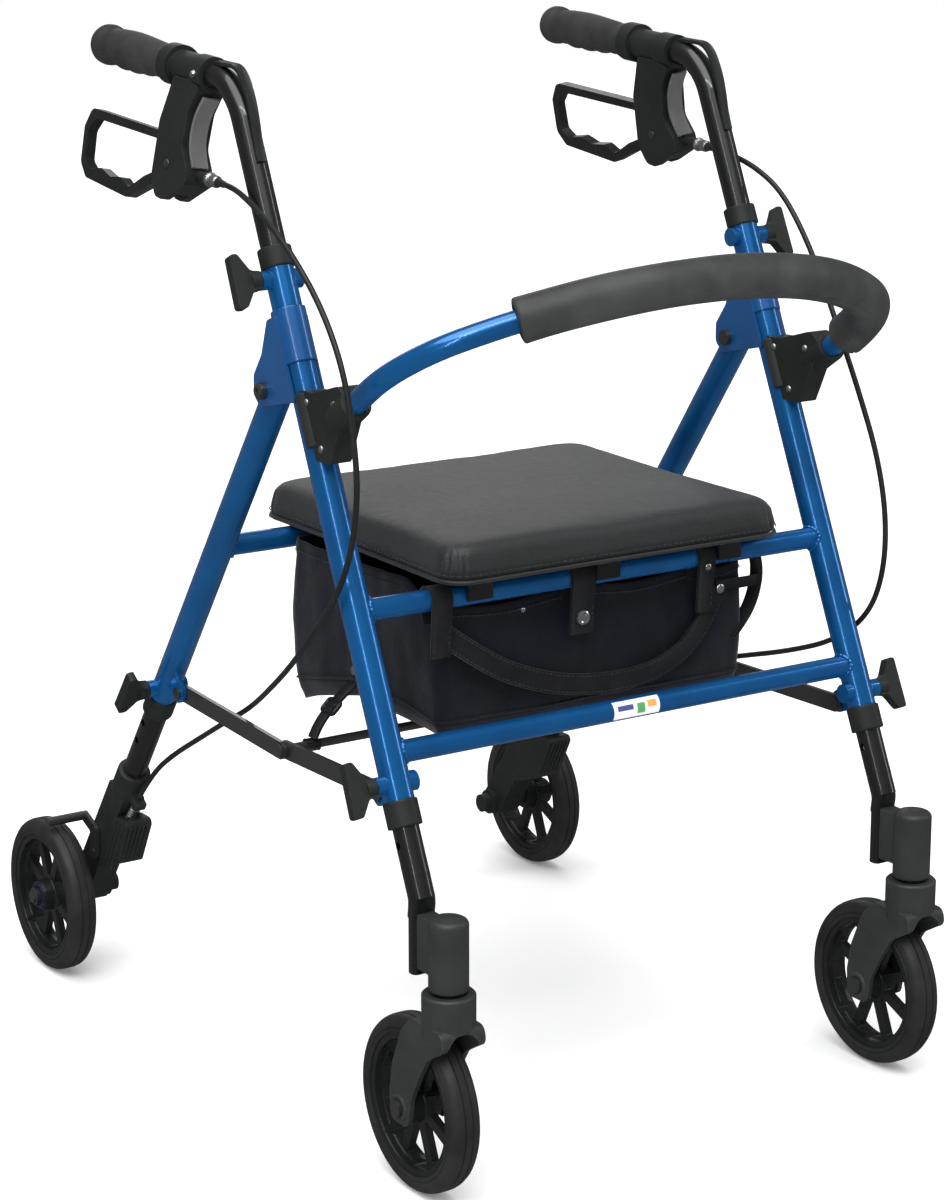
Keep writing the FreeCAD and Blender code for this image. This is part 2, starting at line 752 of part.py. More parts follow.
# ---------------------------------------------------------------- handles
def handle_path(side):
    """From inside the front leg, up its line and back along the grip."""
    up = Vector(0, math.sin(front_lean), math.cos(front_lean))
    slope = math.radians(size("grip_slope"))
    back = Vector(0, math.cos(slope), math.sin(slope))
    corner = Vector(side * leg_x, handle_bend.y, handle_bend.z)
    low = front_leg_point(size("front_leg_above_rail") - size("handle_insertion")) + X_AXIS * side * leg_x
    half_turn = up.getAngle(back) / 2
    reach = size("handle_bend") * math.tan(half_turn)
    inward = (back - up).normalize()
    crown = corner + inward * (size("handle_bend") / math.cos(half_turn) - size("handle_bend"))
    edges = [Part.LineSegment(low, corner - up * reach).toShape(),
             Part.Arc(corner - up * reach, crown, corner + back * reach).toShape(),
             Part.LineSegment(corner + back * reach, corner + back * size("grip_end")).toShape()]
    return Part.Wire(edges)


GRIP_PROFILE = [(11.1, 113), (16.0, 113, 1.5), (16.4, 119, 2), (14.8, 125, 4), (15.6, 150, 60),
                (17.2, 184, 60), (16.0, 214, 30), (17.6, 229, 6), (17.2, 240, 4), (9.0, 244.5, 2),
                (0.0, 244.5, 0), (0.0, 240, 0), (11.1, 240, 0)]
HOUSING_OUTLINE = [(60, -8), (84, -8), (97, -48, 14), (96, -96, 10), (84, -112, 9), (70, -113, 12),
                   (34, -93, 5), (38, -80, 4), (51, -64, 12), (50, -34, 14), (38, -12, 4)]
LEVER_OUTER = [(61, -80, 10), (68, -69, 8), (100, -58), (240, -58, 10), (250, -76, 8), (247, -108, 9),
               (233, -120, 9), (150, -124, 14), (118, -109, 12), (84, -97, 8), (66, -94, 9)]
LEVER_FINGER_HOLE = [(102, -65.5), (231, -66, 5), (242, -79, 6), (239, -105, 6), (227, -111.5, 8),
                     (206, -107, 9), (186, -111.5, 9), (166, -108.5, 9), (149, -115, 9),
                     (124, -100.5, 12), (98, -90, 4)]

for name, side in SIDES:
    node(f"handle_tube_{name}", solid(tube_sweep(handle_path(side), size("inner_tube") / 2,
                                                 size("inner_tube_bore") / 2)))
    level = handle_frame(side, splayed=False)
    along_grip = Placement(Vector(), Rotation(X_AXIS, -90))
    node(f"hand_grip_{name}", turned(GRIP_PROFILE), level.multiply(along_grip))

    # the brake housing clamps the handle in front of the grip
    pivot = (size("lever_pivot_along"), -size("lever_pivot_below"))
    shell = plate("housing_thickness", rounded_loop(HOUSING_OUTLINE, 4))
    collar = cylinder("18", "16", Vector(0, 96, 0), Y_AXIS)
    clamp = cylinder("15.5", "20", Vector(0, 38, 0), Y_AXIS)
    sleeve = cylinder("14", "74", Vector(0, 38, 0), Y_AXIS)
    barrel = cylinder("barrel / 2", "46", Vector(0, 48, -85), Y_AXIS * -1)
    slot = plate("lever_slot", rounded_loop([(57, -42), (130, -42), (130, -140), (57, -140)]))
    bore = cylinder("inner_tube / 2", "140", Vector(0, 10, 0), Y_AXIS)
    pin = cylinder("lever_pin / 2", "housing_thickness",
                   Vector(-size("housing_thickness") / 2, pivot[0], pivot[1]), X_AXIS)
    housing = fuse(cut(fuse(shell, collar, clamp, sleeve, barrel), slot, bore), pin)
    node(f"brake_housing_{name}", housing, handle_frame(side))

    lever_bore = circle_at(pivot[0], pivot[1], size("lever_pin") / 2 + size("running_gap"))
    lever = plate("lever_thickness", rounded_loop(LEVER_OUTER, 6), rounded_loop(LEVER_FINGER_HOLE, 5),
                  lever_bore)
    node(f"brake_lever_{name}", lever, handle_frame(side))


# ---------------------------------------------------------------- wheels
def wheel_rim(axle):
    """Spoked rim turned about X: hub, web with windows, and the ring that holds the tyre."""
    hub, web, ring_half = size("hub_width") / 2, size("rim_web") / 2, size("rim_width") / 2
    bore = axle / 2 + size("running_gap")
    hub_radius, seat_radius = size("hub_radius"), size("tyre_inner_radius")
    ring_radius = seat_radius - 5.5
    profile = [(-hub, bore), (hub, bore), (hub, hub_radius - 1, 1.5), (web, hub_radius + 1, 2),
               (web, ring_radius - 1, 2), (ring_half, ring_radius, 1.5), (ring_half, seat_radius),
               (-ring_half, seat_radius), (-ring_half, ring_radius, 1.5), (-web, ring_radius - 1, 2),
               (-web, hub_radius + 1, 2), (-hub, hub_radius - 1, 1.5)]
    body = doc.addObject("PartDesign::Body", "Rim")
    sketch = sketch_in(body, "XY_Plane", rounded_loop(profile))
    revolution = body.newObject("PartDesign::Revolution", "Revolution")
    revolution.Profile = sketch
    revolution.ReferenceAxis = (sketch, ["H_Axis"])
    revolution.Angle = 360.0
    doc.recompute()
    inner, outer = hub_radius + 3.5, ring_radius - 3.0
    half_spoke = size("spoke_width") / 2
    pitch = math.pi / size("spoke_count")

    def edge_point(radius, turn):
        # side of a window: parallel to its spoke, half a spoke's width from the spoke's centre
        offset = math.asin(half_spoke / radius)
        angle = turn * (pitch - offset)
        return radius * math.sin(angle), radius * math.cos(angle)

    window = [edge_point(inner, -1), edge_point(outer, -1),
              (0.0, outer / math.cos(pitch) * 0.985), edge_point(outer, 1), edge_point(inner, 1)]
    pocket = body.newObject("PartDesign::Pocket", "Window")
    window_sketch = sketch_in(body, "YZ_Plane", rounded_loop(window, 2.2))
    pocket.Profile = window_sketch
    pocket.Midplane = True
    bind(pocket, Length="hub_width * 2")
    doc.recompute()
    pattern = body.newObject("PartDesign::PolarPattern", "Windows")
    pattern.Originals = [pocket]
    pattern.Axis = (window_sketch, ["N_Axis"])
    pattern.Angle = 360.0
    pattern.Occurrences = int(size("spoke_count"))
    body.Tip = pattern
    return body


def wheel_tyre():
    half, inner, outer = size("tyre_width") / 2, size("tyre_inner_radius"), size("wheel_radius")
    profile = [(-half, inner), (half, inner), (half, outer, 6.5), (-half, outer, 6.5)]
    body = doc.addObject("PartDesign::Body", "Tyre")
    sketch = sketch_in(body, "XY_Plane", rounded_loop(profile))
    revolution = body.newObject("PartDesign::Revolution", "Revolution")
    revolution.Profile = sketch
    revolution.ReferenceAxis = (sketch, ["H_Axis"])
    revolution.Angle = 360.0
    return body


# ---------------------------------------------------------------- front casters
stem = Vector(0, size("caster_stem_y"), 0)
caster_axle = Vector(0, size("caster_stem_y") + size("caster_trail"), size("wheel_radius"))
EXTENSION_TOP = -85.0
FRONT_TUBE_END = -238.0
FORK_OUTLINE = [(-21, 185, 7), (24, 185, 6), (38, 168, 12), (57, 150, 14), (58, 100, 30),
                (57, 62, 13), (31, 62, 13), (30, 92, 16), (17, 115, 14), (-4, 124, 14),
                (-25, 148, 9)]
TUNNEL_TOP = 157.0
HOLE_PITCH = 25.0
HOLE_COUNT = 5

def height_holes(clamped, above=2):
    """Cross holes for the leg heights, one under the clamp screw and the rest at an even pitch."""
    start = clamped + above * HOLE_PITCH
    return [cylinder("height_hole / 2", "inner_tube + 2",
                     Vector(-size("inner_tube") / 2 - 1, 0, start - index * HOLE_PITCH), X_AXIS)
            for index in range(HOLE_COUNT)]


for name, side in SIDES:
    # leg extension: round tube, then a flattened upright end that carries the caster housing
    tube_length = f"{EXTENSION_TOP - FRONT_TUBE_END}"
    tube = cut(cylinder("inner_tube / 2", tube_length),
               cylinder("inner_tube_bore / 2", tube_length))
    tube = cut(tube, *height_holes(KNOB_LOWER - FRONT_TUBE_END))
    tube.Placement = Placement(front_leg_point(FRONT_TUBE_END), front_rotation)
    width, depth = size("flat_end_width") / 2, size("flat_end_depth") / 2
    flat_loop = rounded_loop([(-width, -depth), (width, -depth), (width, depth), (-width, depth)], 4.5)
    flat_end = plate("68", flat_loop, role="XY_Plane")
    flat_end.Placement = Placement(Vector(0, size("flat_end_y"), 224), Rotation())
    extension = fuse(tube, flat_end)
    node(f"front_extension_{name}", extension, Placement(Vector(side * leg_x, 0, 0), Rotation()))

    bottom, top = size("stem_housing_bottom"), size("stem_housing_top")
    outer, bore = size("stem_housing_outer") / 2, size("caster_stem") / 2
    shell = turned([(bore, bottom), (outer, bottom, 2), (outer, top - 3, 5), (6, top, 4), (0, top, 0),
                    (0, top - 14, 0), (bore, top - 14)])
    shell.Placement = at(0, stem)
    web_end = size("flat_end_y") - size("flat_end_depth") / 2
    web_start = size("caster_stem_y") + outer - 3
    web = box("16", f"{web_end - web_start}", "46", Vector(-8, web_start, 196))
    node(f"stem_housing_{name}", fuse(shell, web), Placement(Vector(side * leg_x, 0, 0), Rotation()))

    # swivelling fork, straddling the wheel
    blank = plate("fork_width", rounded_loop(FORK_OUTLINE))
    crown = turned([(0, 150, 0), (20.5, 150, 3), (20.5, 185.4, 3), (0, 185.4, 0)])
    spindle = cylinder("caster_stem / 2 - running_gap", "70", Vector(0, 0, 160))
    trail, radius = size("caster_trail"), size("wheel_radius")
    wheel_space = cylinder("wheel_radius + fork_wheel_gap", "fork_slot",
                           Vector(-size("fork_slot") / 2, trail, radius), X_AXIS)
    axle_bore = cylinder("front_axle / 2", "fork_width + 2",
                         Vector(-size("fork_width") / 2 - 1, trail, radius), X_AXIS)
    # arch under the crown, open to the front, that the wheel turns in
    half_slot = size("fork_slot") / 2
    arch = plate("112", rounded_loop([(-half_slot, 100, 0), (half_slot, 100, 0),
                                      (half_slot, TUNNEL_TOP, 10), (-half_slot, TUNNEL_TOP, 10)]),
                 role="XZ_Plane")
    fork = cut(fuse(blank, crown, spindle), wheel_space, arch, axle_bore)
    node(f"caster_fork_{name}", fork, at(side * leg_x, stem))
    axle = bolt(size("front_axle"), size("fork_width"), 14.0, 4.0)
    node(f"caster_axle_{name}", axle, at(side * leg_x, caster_axle))
    node(f"caster_rim_{name}", wheel_rim(size("front_axle")), at(side * leg_x, caster_axle))
    node(f"caster_tyre_{name}", wheel_tyre(), at(side * leg_x, caster_axle))


# ---------------------------------------------------------------- rear wheels and brakes
REAR_EXTENSION_TOP = 369.0
REAR_TUBE_END = 95.0
COLLAR_START = 150.0
BRACKET_OUTLINE = [(-15, 152, 3), (15, 152, 3), (15.5, 40, 6), (15, -12, 13), (-15, -12, 13),
                   (-15.5, 40, 6)]
COVER_OUTLINE = [(-14, 130), (-36, 146, 5), (-43, 92, 5), (-14, 50)]
CABLE_STOP = Vector(0, -21.0, 162.0)

for name, side in SIDES:
    length = f"{REAR_EXTENSION_TOP - REAR_TUBE_END}"
    base = Vector(0, 0, REAR_TUBE_END)
    tube = cut(cylinder("inner_tube / 2", length, base), cylinder("inner_tube_bore / 2", length, base),
               *height_holes(REAR_KNOB, 1))
    node(f"rear_extension_{name}", tube, rear_leg_frame(side))

    body = plate("bracket_thickness", rounded_loop(BRACKET_OUTLINE))
    collar = ring(15.8, 5.0, 31.0, COLLAR_START, 3.0)
    cover = plate("bracket_thickness + 3", rounded_loop(COVER_OUTLINE, 4))
    stop = box("11", "20", "8", Vector(-5.5, CABLE_STOP.y - 8, CABLE_STOP.z - 8))
    rod = cylinder("2.2", "26", CABLE_STOP - Vector(0, 0, 4), Vector(0, -5, -24))
    boss = cylinder("13", "34", Vector(-17, 0, 0), X_AXIS)
    bore = cylinder("inner_tube / 2", "120", base)
    pivot = in_leg_frame(Vector(0, size("arm_pivot_y"), size("arm_pivot_z")), rear_axle_point, -rear_lean)
    pivot_bore = cylinder("4 + running_gap", "10", Vector(side * 4, pivot[0], pivot[1]), X_AXIS * side)
    shaft = cylinder("rear_axle / 2", "79", Vector(-side * 20, 0, 0), X_AXIS * side)
    inner_head = cylinder("9.5", "9", Vector(-side * 17, 0, 0), X_AXIS * -side)
    spacer = cylinder("8.5", "8.5", Vector(side * 17, 0, 0), X_AXIS * side)
    outer_nut = cylinder("8", "4", Vector(side * 57, 0, 0), X_AXIS * side)
    casting = cut(fuse(body, collar, cover, stop, rod, boss), bore, pivot_bore)
    bracket = fuse(casting, shaft, inner_head, spacer, outer_nut)
    node(f"brake_bracket_{name}", bracket, rear_leg_frame(side))

    node(f"rear_rim_{name}", wheel_rim(size("rear_axle")),
         at(side * size("rear_wheel_x"), rear_axle_point))
    node(f"rear_tyre_{name}", wheel_tyre(), at(side * size("rear_wheel_x"), rear_axle_point))

    # cranked brake arm with the bar that presses on the tread
    pivot_y, pivot_z = size("arm_pivot_y"), size("arm_pivot_z")
    bar_y, bar_z = size("brake_bar_y"), size("brake_bar_z")
    arm_loop = rounded_loop([(pivot_y + 7, pivot_z - 6), (pivot_y - 6, pivot_z - 7),
                             (pivot_y - 9, pivot_z + 27, 6), (bar_y + 2, bar_z + 6, 5),
                             (bar_y + 5, bar_z - 4, 4), (pivot_y + 4, pivot_z + 20, 4)], 5)
    plate_layer = size("bracket_thickness") / 2 + 0.5 + size("arm_thickness") / 2
    arm = shifted(plate("arm_thickness", arm_loop), x=side * plate_layer)
    pin = cylinder("4", "12", Vector(side * 5, pivot_y, pivot_z), X_AXIS * side)
    bar = cylinder("brake_bar / 2", "42", Vector(side * (plate_layer - 2), bar_y, bar_z), X_AXIS * side)
    node(f"brake_arm_{name}", fuse(arm, pin, bar), Placement(Vector(side * leg_x, 0, 0), Rotation()))


# ---------------------------------------------------------------- wing knobs
WING_OUTLINE = [(20.7, -7.5), (29, -8.5, 5), (38, -22.5, 4), (46, -22.5, 3), (45, 23.5, 3),
                (38, 23.5, 3), (29, 8.5, 5), (20.7, 7.5)]


def wing_knob(side):
    """Wing with its clamp screw, pointing outboard."""
    loop = rounded_loop([(side * corner[0], *corner[1:]) for corner in WING_OUTLINE], 1.0)
    wing = plate("wing_thickness", loop, role="XZ_Plane")
    hub = cylinder("8", "9", Vector(side * 20.6, 0, 0), X_AXIS * side)
    screw = cylinder("stud / 2", "12", Vector(side * 11.8, 0, 0), X_AXIS * side)
    return fuse(wing, hub, screw)


for name, side in SIDES:
    node(f"handle_knob_{name}", wing_knob(side), front_leg_frame(side, KNOB_UPPER))
    node(f"front_knob_{name}", wing_knob(side), front_leg_frame(side, KNOB_LOWER))
    node(f"rear_knob_{name}", wing_knob(side), rear_leg_frame(side, REAR_KNOB))


# ---------------------------------------------------------------- brake cables
CABLE_END_GAP = 0.5
CABLE_ROUTES = {
    "left": [(-258, -45, 799), (-261, -80, 790), (-264, -118, 777),
             (-267, -165, 753), (-269, -210, 720), (-270, -243, 678), (-270, -258, 630),
             (-269, -263, 582), (-267, -250, 533), (-264, -222, 489), (-259, -176, 448),
             (-252, -122, 404), (-242, -66, 368), (-231, -8, 334), (-226, 48, 306),
             (-226, 98, 278), (-229, 146, 250), (-234, 180, 224)],
    "right": [(258, -45, 796), (261, -76, 782), (264, -106, 761),
              (266, -138, 729), (268, -166, 692), (269, -197, 648), (270, -228, 600),
              (271, -254, 548), (270, -270, 496), (267, -273, 446), (264, -258, 403),
              (257, -220, 371), (246, -166, 350), (234, -106, 333), (227, -44, 313),
              (226, 18, 293), (227, 76, 273), (229, 132, 250), (234, 174, 224)],
}

for name, side in SIDES:
    start = handle_frame(side).multVec(Vector(0, 2.0 - CABLE_END_GAP, -85.0))
    stop = rear_leg_frame(side).multVec(CABLE_STOP + Vector(0, 0, 2.5))
    route = [start] + [Vector(*point) for point in CABLE_ROUTES[name]] + [stop]
    path, radii = arc_run_path(route)
    cable = solid(tube_sweep(path, size("cable") / 2))
    expected = math.pi * (size("cable") / 2) ** 2 * path.Length
    print(f"{name} cable: length {path.Length:.0f}, tightest radius {min(radii):.0f}, "
          f"volume / (section x length) {cable.Shape.Volume / expected:.4f}")
    node(f"brake_cable_{name}", cable)


# ---------------------------------------------------------------- check and write
doc.recompute()
failed = [feature.Label for feature in doc.Objects
          if "Invalid" in feature.State or "Error" in feature.State]
if failed:
    raise RuntimeError(f"features that failed: {failed}")
for label, feature in nodes.items():
    if feature.Shape.isNull() or not feature.Shape.isValid():
        raise RuntimeError(f"bad shape: {label}")
    if not feature.Shape.Solids:
        raise RuntimeError(f"no solid: {label}")

os.makedirs("parts", exist_ok=True)
for label, feature in nodes.items():
    feature.Shape.exportStep(f"parts/{label}.step")
print(f"{len(nodes)} nodes written")
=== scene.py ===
"""Looks of the folding rollator walker: camera, studio, materials, soft parts, cables and small hardware."""
import bmesh
import bpy
import json
from math import asin, atan2, copysign, cos, exp, pi, radians, sin, sqrt, tan
from mathutils import Matrix, Vector, noise


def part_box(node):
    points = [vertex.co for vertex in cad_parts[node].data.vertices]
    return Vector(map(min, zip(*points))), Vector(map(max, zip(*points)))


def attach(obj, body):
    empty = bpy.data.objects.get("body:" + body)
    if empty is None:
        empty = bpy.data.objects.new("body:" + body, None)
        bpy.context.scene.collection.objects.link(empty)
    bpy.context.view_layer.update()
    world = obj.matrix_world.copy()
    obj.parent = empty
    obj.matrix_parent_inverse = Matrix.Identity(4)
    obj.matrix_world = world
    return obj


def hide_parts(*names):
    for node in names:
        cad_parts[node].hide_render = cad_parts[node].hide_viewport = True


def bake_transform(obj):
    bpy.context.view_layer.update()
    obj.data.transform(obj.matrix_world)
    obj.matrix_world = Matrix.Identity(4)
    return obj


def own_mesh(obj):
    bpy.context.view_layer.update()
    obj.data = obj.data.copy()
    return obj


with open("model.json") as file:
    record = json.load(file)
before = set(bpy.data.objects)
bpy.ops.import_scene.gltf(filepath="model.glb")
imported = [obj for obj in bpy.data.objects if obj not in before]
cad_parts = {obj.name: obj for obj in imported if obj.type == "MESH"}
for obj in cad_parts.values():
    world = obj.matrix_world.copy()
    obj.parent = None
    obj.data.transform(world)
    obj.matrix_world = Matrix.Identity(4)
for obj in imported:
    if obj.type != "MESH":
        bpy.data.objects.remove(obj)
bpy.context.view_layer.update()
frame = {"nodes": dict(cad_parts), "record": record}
JOINTS = {joint["name"]: joint for joint in frame["record"]["behaviour"]["joints"]}
SIDES = (("left", -1), ("right", 1))
MM = 0.001
X, Y, Z = Vector((1, 0, 0)), Vector((0, 1, 0)), Vector((0, 0, 1))


def joint_point(name):
    return Vector(JOINTS[name]["pos_m"])


def joint_axis(name):
    return Vector(JOINTS[name]["axis"]).normalized()


def basis(origin, x_axis, z_axis):
    """Matrix of a frame with these axes; Y completes it."""
    x_axis, z_axis = x_axis.normalized(), z_axis.normalized()
    y_axis = z_axis.cross(x_axis).normalized()
    z_axis = x_axis.cross(y_axis)
    return Matrix.Translation(origin) @ Matrix((x_axis, y_axis, z_axis)).transposed().to_4x4()


def at(matrix, x, y, z):
    """A place given in millimetres in a frame."""
    return matrix @ (Vector((x, y, z)) * MM)


LEG_X = abs(joint_point("caster_right_swivel").x)
SEAT_RAIL = joint_point("seat_flip")
HINGE = joint_point("fold")
FRONT_UP = joint_axis("front_leg_left_height")
REAR_UP = joint_axis("rear_leg_left_height")
LEVER_PIVOT = (72.0, -82.0)
# end of the pull rod between the struts, which carries their open middle pivot
STRUT_ROD = Vector((0, -0.083, 0.317))


def rear_leg(side):
    axle = joint_point("rear_wheel_left_roll")
    return basis(Vector((side * LEG_X, axle.y, axle.z)), X, REAR_UP)


def brake_frame(name):
    """Frame of a brake housing: Y back along the grip from the tube's bend, Z up across it."""
    splayed_x = joint_axis(f"brake_lever_{name}_squeeze")
    back = Vector((0, cos(radians(4)), sin(radians(4))))
    up = splayed_x.cross(back)
    origin = joint_point(f"brake_lever_{name}_squeeze") - (back * LEVER_PIVOT[0] + up * LEVER_PIVOT[1]) * MM
    return basis(origin, splayed_x, up)


def handle_frame(name):
    """Like the brake's frame, but with Z straight up."""
    tilted = brake_frame(name)
    back = tilted.to_3x3() @ Y
    return basis(tilted.translation, X, X.cross(back))


def arc(start, end, steps):
    """Cosine and sine at even steps of an angle, both ends included."""
    angles = [start + (end - start) * step / steps for step in range(steps + 1)]
    return [(cos(angle), sin(angle)) for angle in angles]


def circle(count):
    return arc(0, 2 * pi, count)[:-1]


def smooth_step(value, low, high):
    share = min(1.0, max(0.0, (value - low) / (high - low)))
    return share * share * (3 - 2 * share)


def linked(name, data):
    """A new object in the scene for this data."""
    obj = bpy.data.objects.new(name, data)
    bpy.context.collection.objects.link(obj)
    return obj


# ------------------------------------------------------------------ camera and studio
def make_camera():
    data = bpy.data.cameras.new("view")
    data.lens, data.sensor_width, data.clip_end = 89.82, 36.0, 60
    data.shift_x, data.shift_y = -0.01388, -0.03906
    camera = linked("view", data)
    camera.location = (-1.4393, -2.2416, 1.0958)
    camera.rotation_euler = (radians(90 - 13.790), 0, radians(-33.162))
    bpy.context.scene.camera = camera


def make_studio():
    """White surround, a broad soft sun, four area lights and a pale floor."""
    scene = bpy.context.scene
    scene.view_settings.view_transform = "Standard"
    scene.world = bpy.data.worlds.new("studio")
    scene.world.use_nodes = True
    tree = scene.world.node_tree
    background = tree.nodes["Background"]
    background.inputs["Color"].default_value = (1.0, 1.0, 1.0, 1)
    # white behind the walker, dimmer where it lights, dimmest where gloss mirrors it
    rays = tree.nodes.new("ShaderNodeLightPath")
    strength = None
    for output, share in (("Is Camera Ray", 0.6), ("Is Glossy Ray", -0.27)):
        node = tree.nodes.new("ShaderNodeMath")
        node.operation = "MULTIPLY_ADD"
        tree.links.new(rays.outputs[output], node.inputs[0])
        node.inputs[1].default_value = share
        node.inputs[2].default_value = 0.4
        if strength:
            tree.links.new(strength, node.inputs[2])
        strength = node.outputs[0]
    tree.links.new(strength, background.inputs["Strength"])
    sun = bpy.data.lights.new("ceiling", "SUN")
    sun.energy, sun.angle = 3.0, radians(70)
    linked("ceiling", sun).rotation_euler = (radians(12), radians(-14), 0)
    for name, place, width, height, power in (
            ("key", (-2.6, -2.2, 1.9), 0.09, 2.4, 13), ("side", (2.8, -1.6, 1.9), 0.2, 2.2, 13),
            ("rim", (1.3, 2.9, 1.9), 2.2, 1.0, 11), ("strip", (-0.9, -1.6, 2.7), 2.4, 0.1, 14)):
        data = bpy.data.lights.new(name, "AREA")
        data.shape, data.size, data.size_y, data.energy = "RECTANGLE", width, height, power
        light = linked(name, data)
        light.location = place
        light.visible_camera = False
        light.rotation_euler = (Vector((0, 0, 0.5)) - Vector(place)).to_track_quat("-Z", "Y").to_euler()
    mesh = bpy.data.meshes.new("floor")
    reach = 9.0
    mesh.from_pydata([(-reach, -reach, 0), (reach, -reach, 0), (reach, reach, 0), (-reach, reach, 0)], [],
                     [(0, 1, 2, 3)])
    floor = linked("floor", mesh)
    floor.location.z = -0.0005
    floor.visible_glossy = False
    mesh.materials.append(MATERIALS["floor"])


# ------------------------------------------------------------------ materials
class Shading:
    """A node material under construction, on object coordinates."""

    def __init__(self, name, color, roughness, metallic=0.0, **sockets):
        self.material = bpy.data.materials.new(name)
        self.material.use_nodes = True
        self.material.diffuse_color = (*color, 1)
        self.tree = self.material.node_tree
        self.shader = self.tree.nodes["Principled BSDF"].inputs
        sockets.update(Base_Color=(*color, 1), Roughness=roughness, Metallic=metallic)
        for socket, value in sockets.items():
            self.shader[socket.replace("_", " ")].default_value = value
        self.place = self.add("ShaderNodeTexCoord").outputs["Object"]
        self.height = None

    def put(self, value, socket):
        """Links an output to a socket, or sets a plain value on it."""
        if isinstance(value, bpy.types.NodeSocket):
            self.tree.links.new(value, socket)
        else:
            socket.default_value = value

    def add(self, kind, inputs=None, **settings):
        node = self.tree.nodes.new(kind)
        for key, value in settings.items():
            setattr(node, key, value)
        for socket, value in (inputs or {}).items():
            self.put(value, node.inputs[socket])
        return node

    def stretched(self, scale):
        """Object coordinates, scaled."""
        return self.add("ShaderNodeMapping", {"Scale": scale, "Vector": self.place}).outputs["Vector"]

    def noise(self, scale, detail=3.0, rough=0.55, vector=None):
        return self.add("ShaderNodeTexNoise", {"Scale": scale, "Detail": detail, "Roughness": rough,
                                               "Vector": vector or self.place}).outputs["Fac"]

    def cells(self, scale, feature="F1"):
        return self.add("ShaderNodeTexVoronoi", {"Scale": scale, "Vector": self.place},
                        feature=feature).outputs["Distance"]

    def wave(self, scale, direction, profile="SIN"):
        return self.add("ShaderNodeTexWave", {"Scale": scale, "Vector": self.place},
                        bands_direction=direction, wave_profile=profile).outputs["Fac"]

    def math(self, operation, first, second):
        return self.add("ShaderNodeMath", {0: first, 1: second}, operation=operation).outputs[0]

    def span(self, value, low, high, to_low, to_high):
        """The value's range low..high stretched to another range, and held at its ends."""
        return self.add("ShaderNodeMapRange", {0: value, 1: low, 2: high, 3: to_low, 4: to_high}).outputs[0]

    def tint(self, factor, other):
        """Mixes another colour into the base colour by a factor."""
        current = self.shader["Base Color"]
        before = current.links[0].from_socket if current.is_linked else current.default_value
        node = self.add("ShaderNodeMix", {0: factor, 6: before, 7: (*other, 1)}, data_type="RGBA")
        self.put(node.outputs[2], current)

    def rough(self, factor, low, high):
        self.put(self.span(factor, 0.0, 1.0, low, high), self.shader["Roughness"])

    def raise_by(self, value, distance):
        """Adds a relief of this depth in metres."""
        scaled = self.math("MULTIPLY", value, distance)
        self.height = scaled if self.height is None else self.math("ADD", self.height, scaled)

    def done(self, bevel=0.0, strength=1.0):
        normal = self.add("ShaderNodeBevel", {"Radius": bevel}, samples=3).outputs[0] if bevel else None
        if self.height is not None:
            bump = self.add("ShaderNodeBump", {"Distance": 1.0, "Strength": strength, "Height": self.height})
            if normal:
                self.put(normal, bump.inputs["Normal"])
            normal = bump.outputs[0]
        if normal:
            self.put(normal, self.shader["Normal"])
        return self.material


def times(color, factor):
    return tuple(min(1.0, channel * factor) for channel in color)


def edge_wear_and_highlight(s):
    """Mask that is bright where an edge is sharp: where the rounded normal leaves the true one."""
    rounded = s.add("ShaderNodeBevel", {"Radius": 0.0015}, samples=3).outputs[0]
    true = s.add("ShaderNodeNewGeometry").outputs["Normal"]
    dot = s.add("ShaderNodeVectorMath", {0: rounded, 1: true}, operation="DOT_PRODUCT")
    return s.span(dot.outputs["Value"], 0.995, 0.86, 0.0, 1.0)


def paint(name, color, dark, light, roughness, metallic):
    """Gloss metallic paint: fine flake, slow shade change, faint orange peel and light scuffs."""
    s = Shading(name, color, roughness, metallic, Coat_Weight=0.7, Coat_Roughness=0.07)
    s.tint(s.span(s.noise(14, 2), 0.42, 0.7, 0.0, 0.4), dark)
    s.tint(s.span(s.noise(2600, 1), 0.6, 0.78, 0.0, 0.35), light)
    s.rough(s.noise(60, 5, 0.7, s.stretched((1, 1, 0.25))), roughness - 0.05, roughness + 0.1)
    s.raise_by(s.noise(420, 2), 0.000012)
    s.raise_by(s.span(s.noise(190, 4, 0.8, s.stretched((1, 1, 0.12))), 0.7, 0.82, 0.0, 1.0), -0.000012)
    return s.done(bevel=0.0006)


def moulded(name, color, light, roughness, grain=0.00005, wear_and_highlight=0.5):
    """Moulded plastic: sparked grain, soft cloudiness and sharp edges painted lighter, partly as rubbed wear
    and partly as a painted highlight.
    """
    s = Shading(name, color, roughness, Specular_IOR_Level=0.32)
    s.tint(s.span(s.noise(24, 4), 0.4, 0.75, 0.0, 0.6), light)
    # sharp edges tinted lighter: partly rubbed wear, partly a painted highlight
    mask = s.math("MULTIPLY", edge_wear_and_highlight(s), s.span(s.noise(90, 5, 0.7), 0.4, 0.7, 0.1, wear_and_highlight))
    s.tint(mask, times(light, 3.2))
    s.rough(s.noise(75, 5, 0.65), roughness - 0.1, roughness + 0.14)
    s.raise_by(s.cells(1500), grain)
    s.raise_by(s.noise(700, 3), grain * 0.8)
    return s.done(bevel=0.0007)


def bare_metal(name, color, roughness):
    """Plated steel: fine drawn lines, cloudy plating and small pits."""
    s = Shading(name, color, roughness, 1.0)
    s.tint(s.span(s.noise(55, 5), 0.4, 0.7, 0.0, 0.6), times(color, 0.62))
    s.rough(s.noise(260, 4, 0.6, s.stretched((1, 0.08, 1))), roughness - 0.08, roughness + 0.2)
    s.raise_by(s.noise(1600, 3, 0.6, s.stretched((1, 0.05, 1))), 0.00002)
    s.raise_by(s.span(s.cells(420), 0.0, 0.1, 1.0, 0.0), -0.00002)
    return s.done()


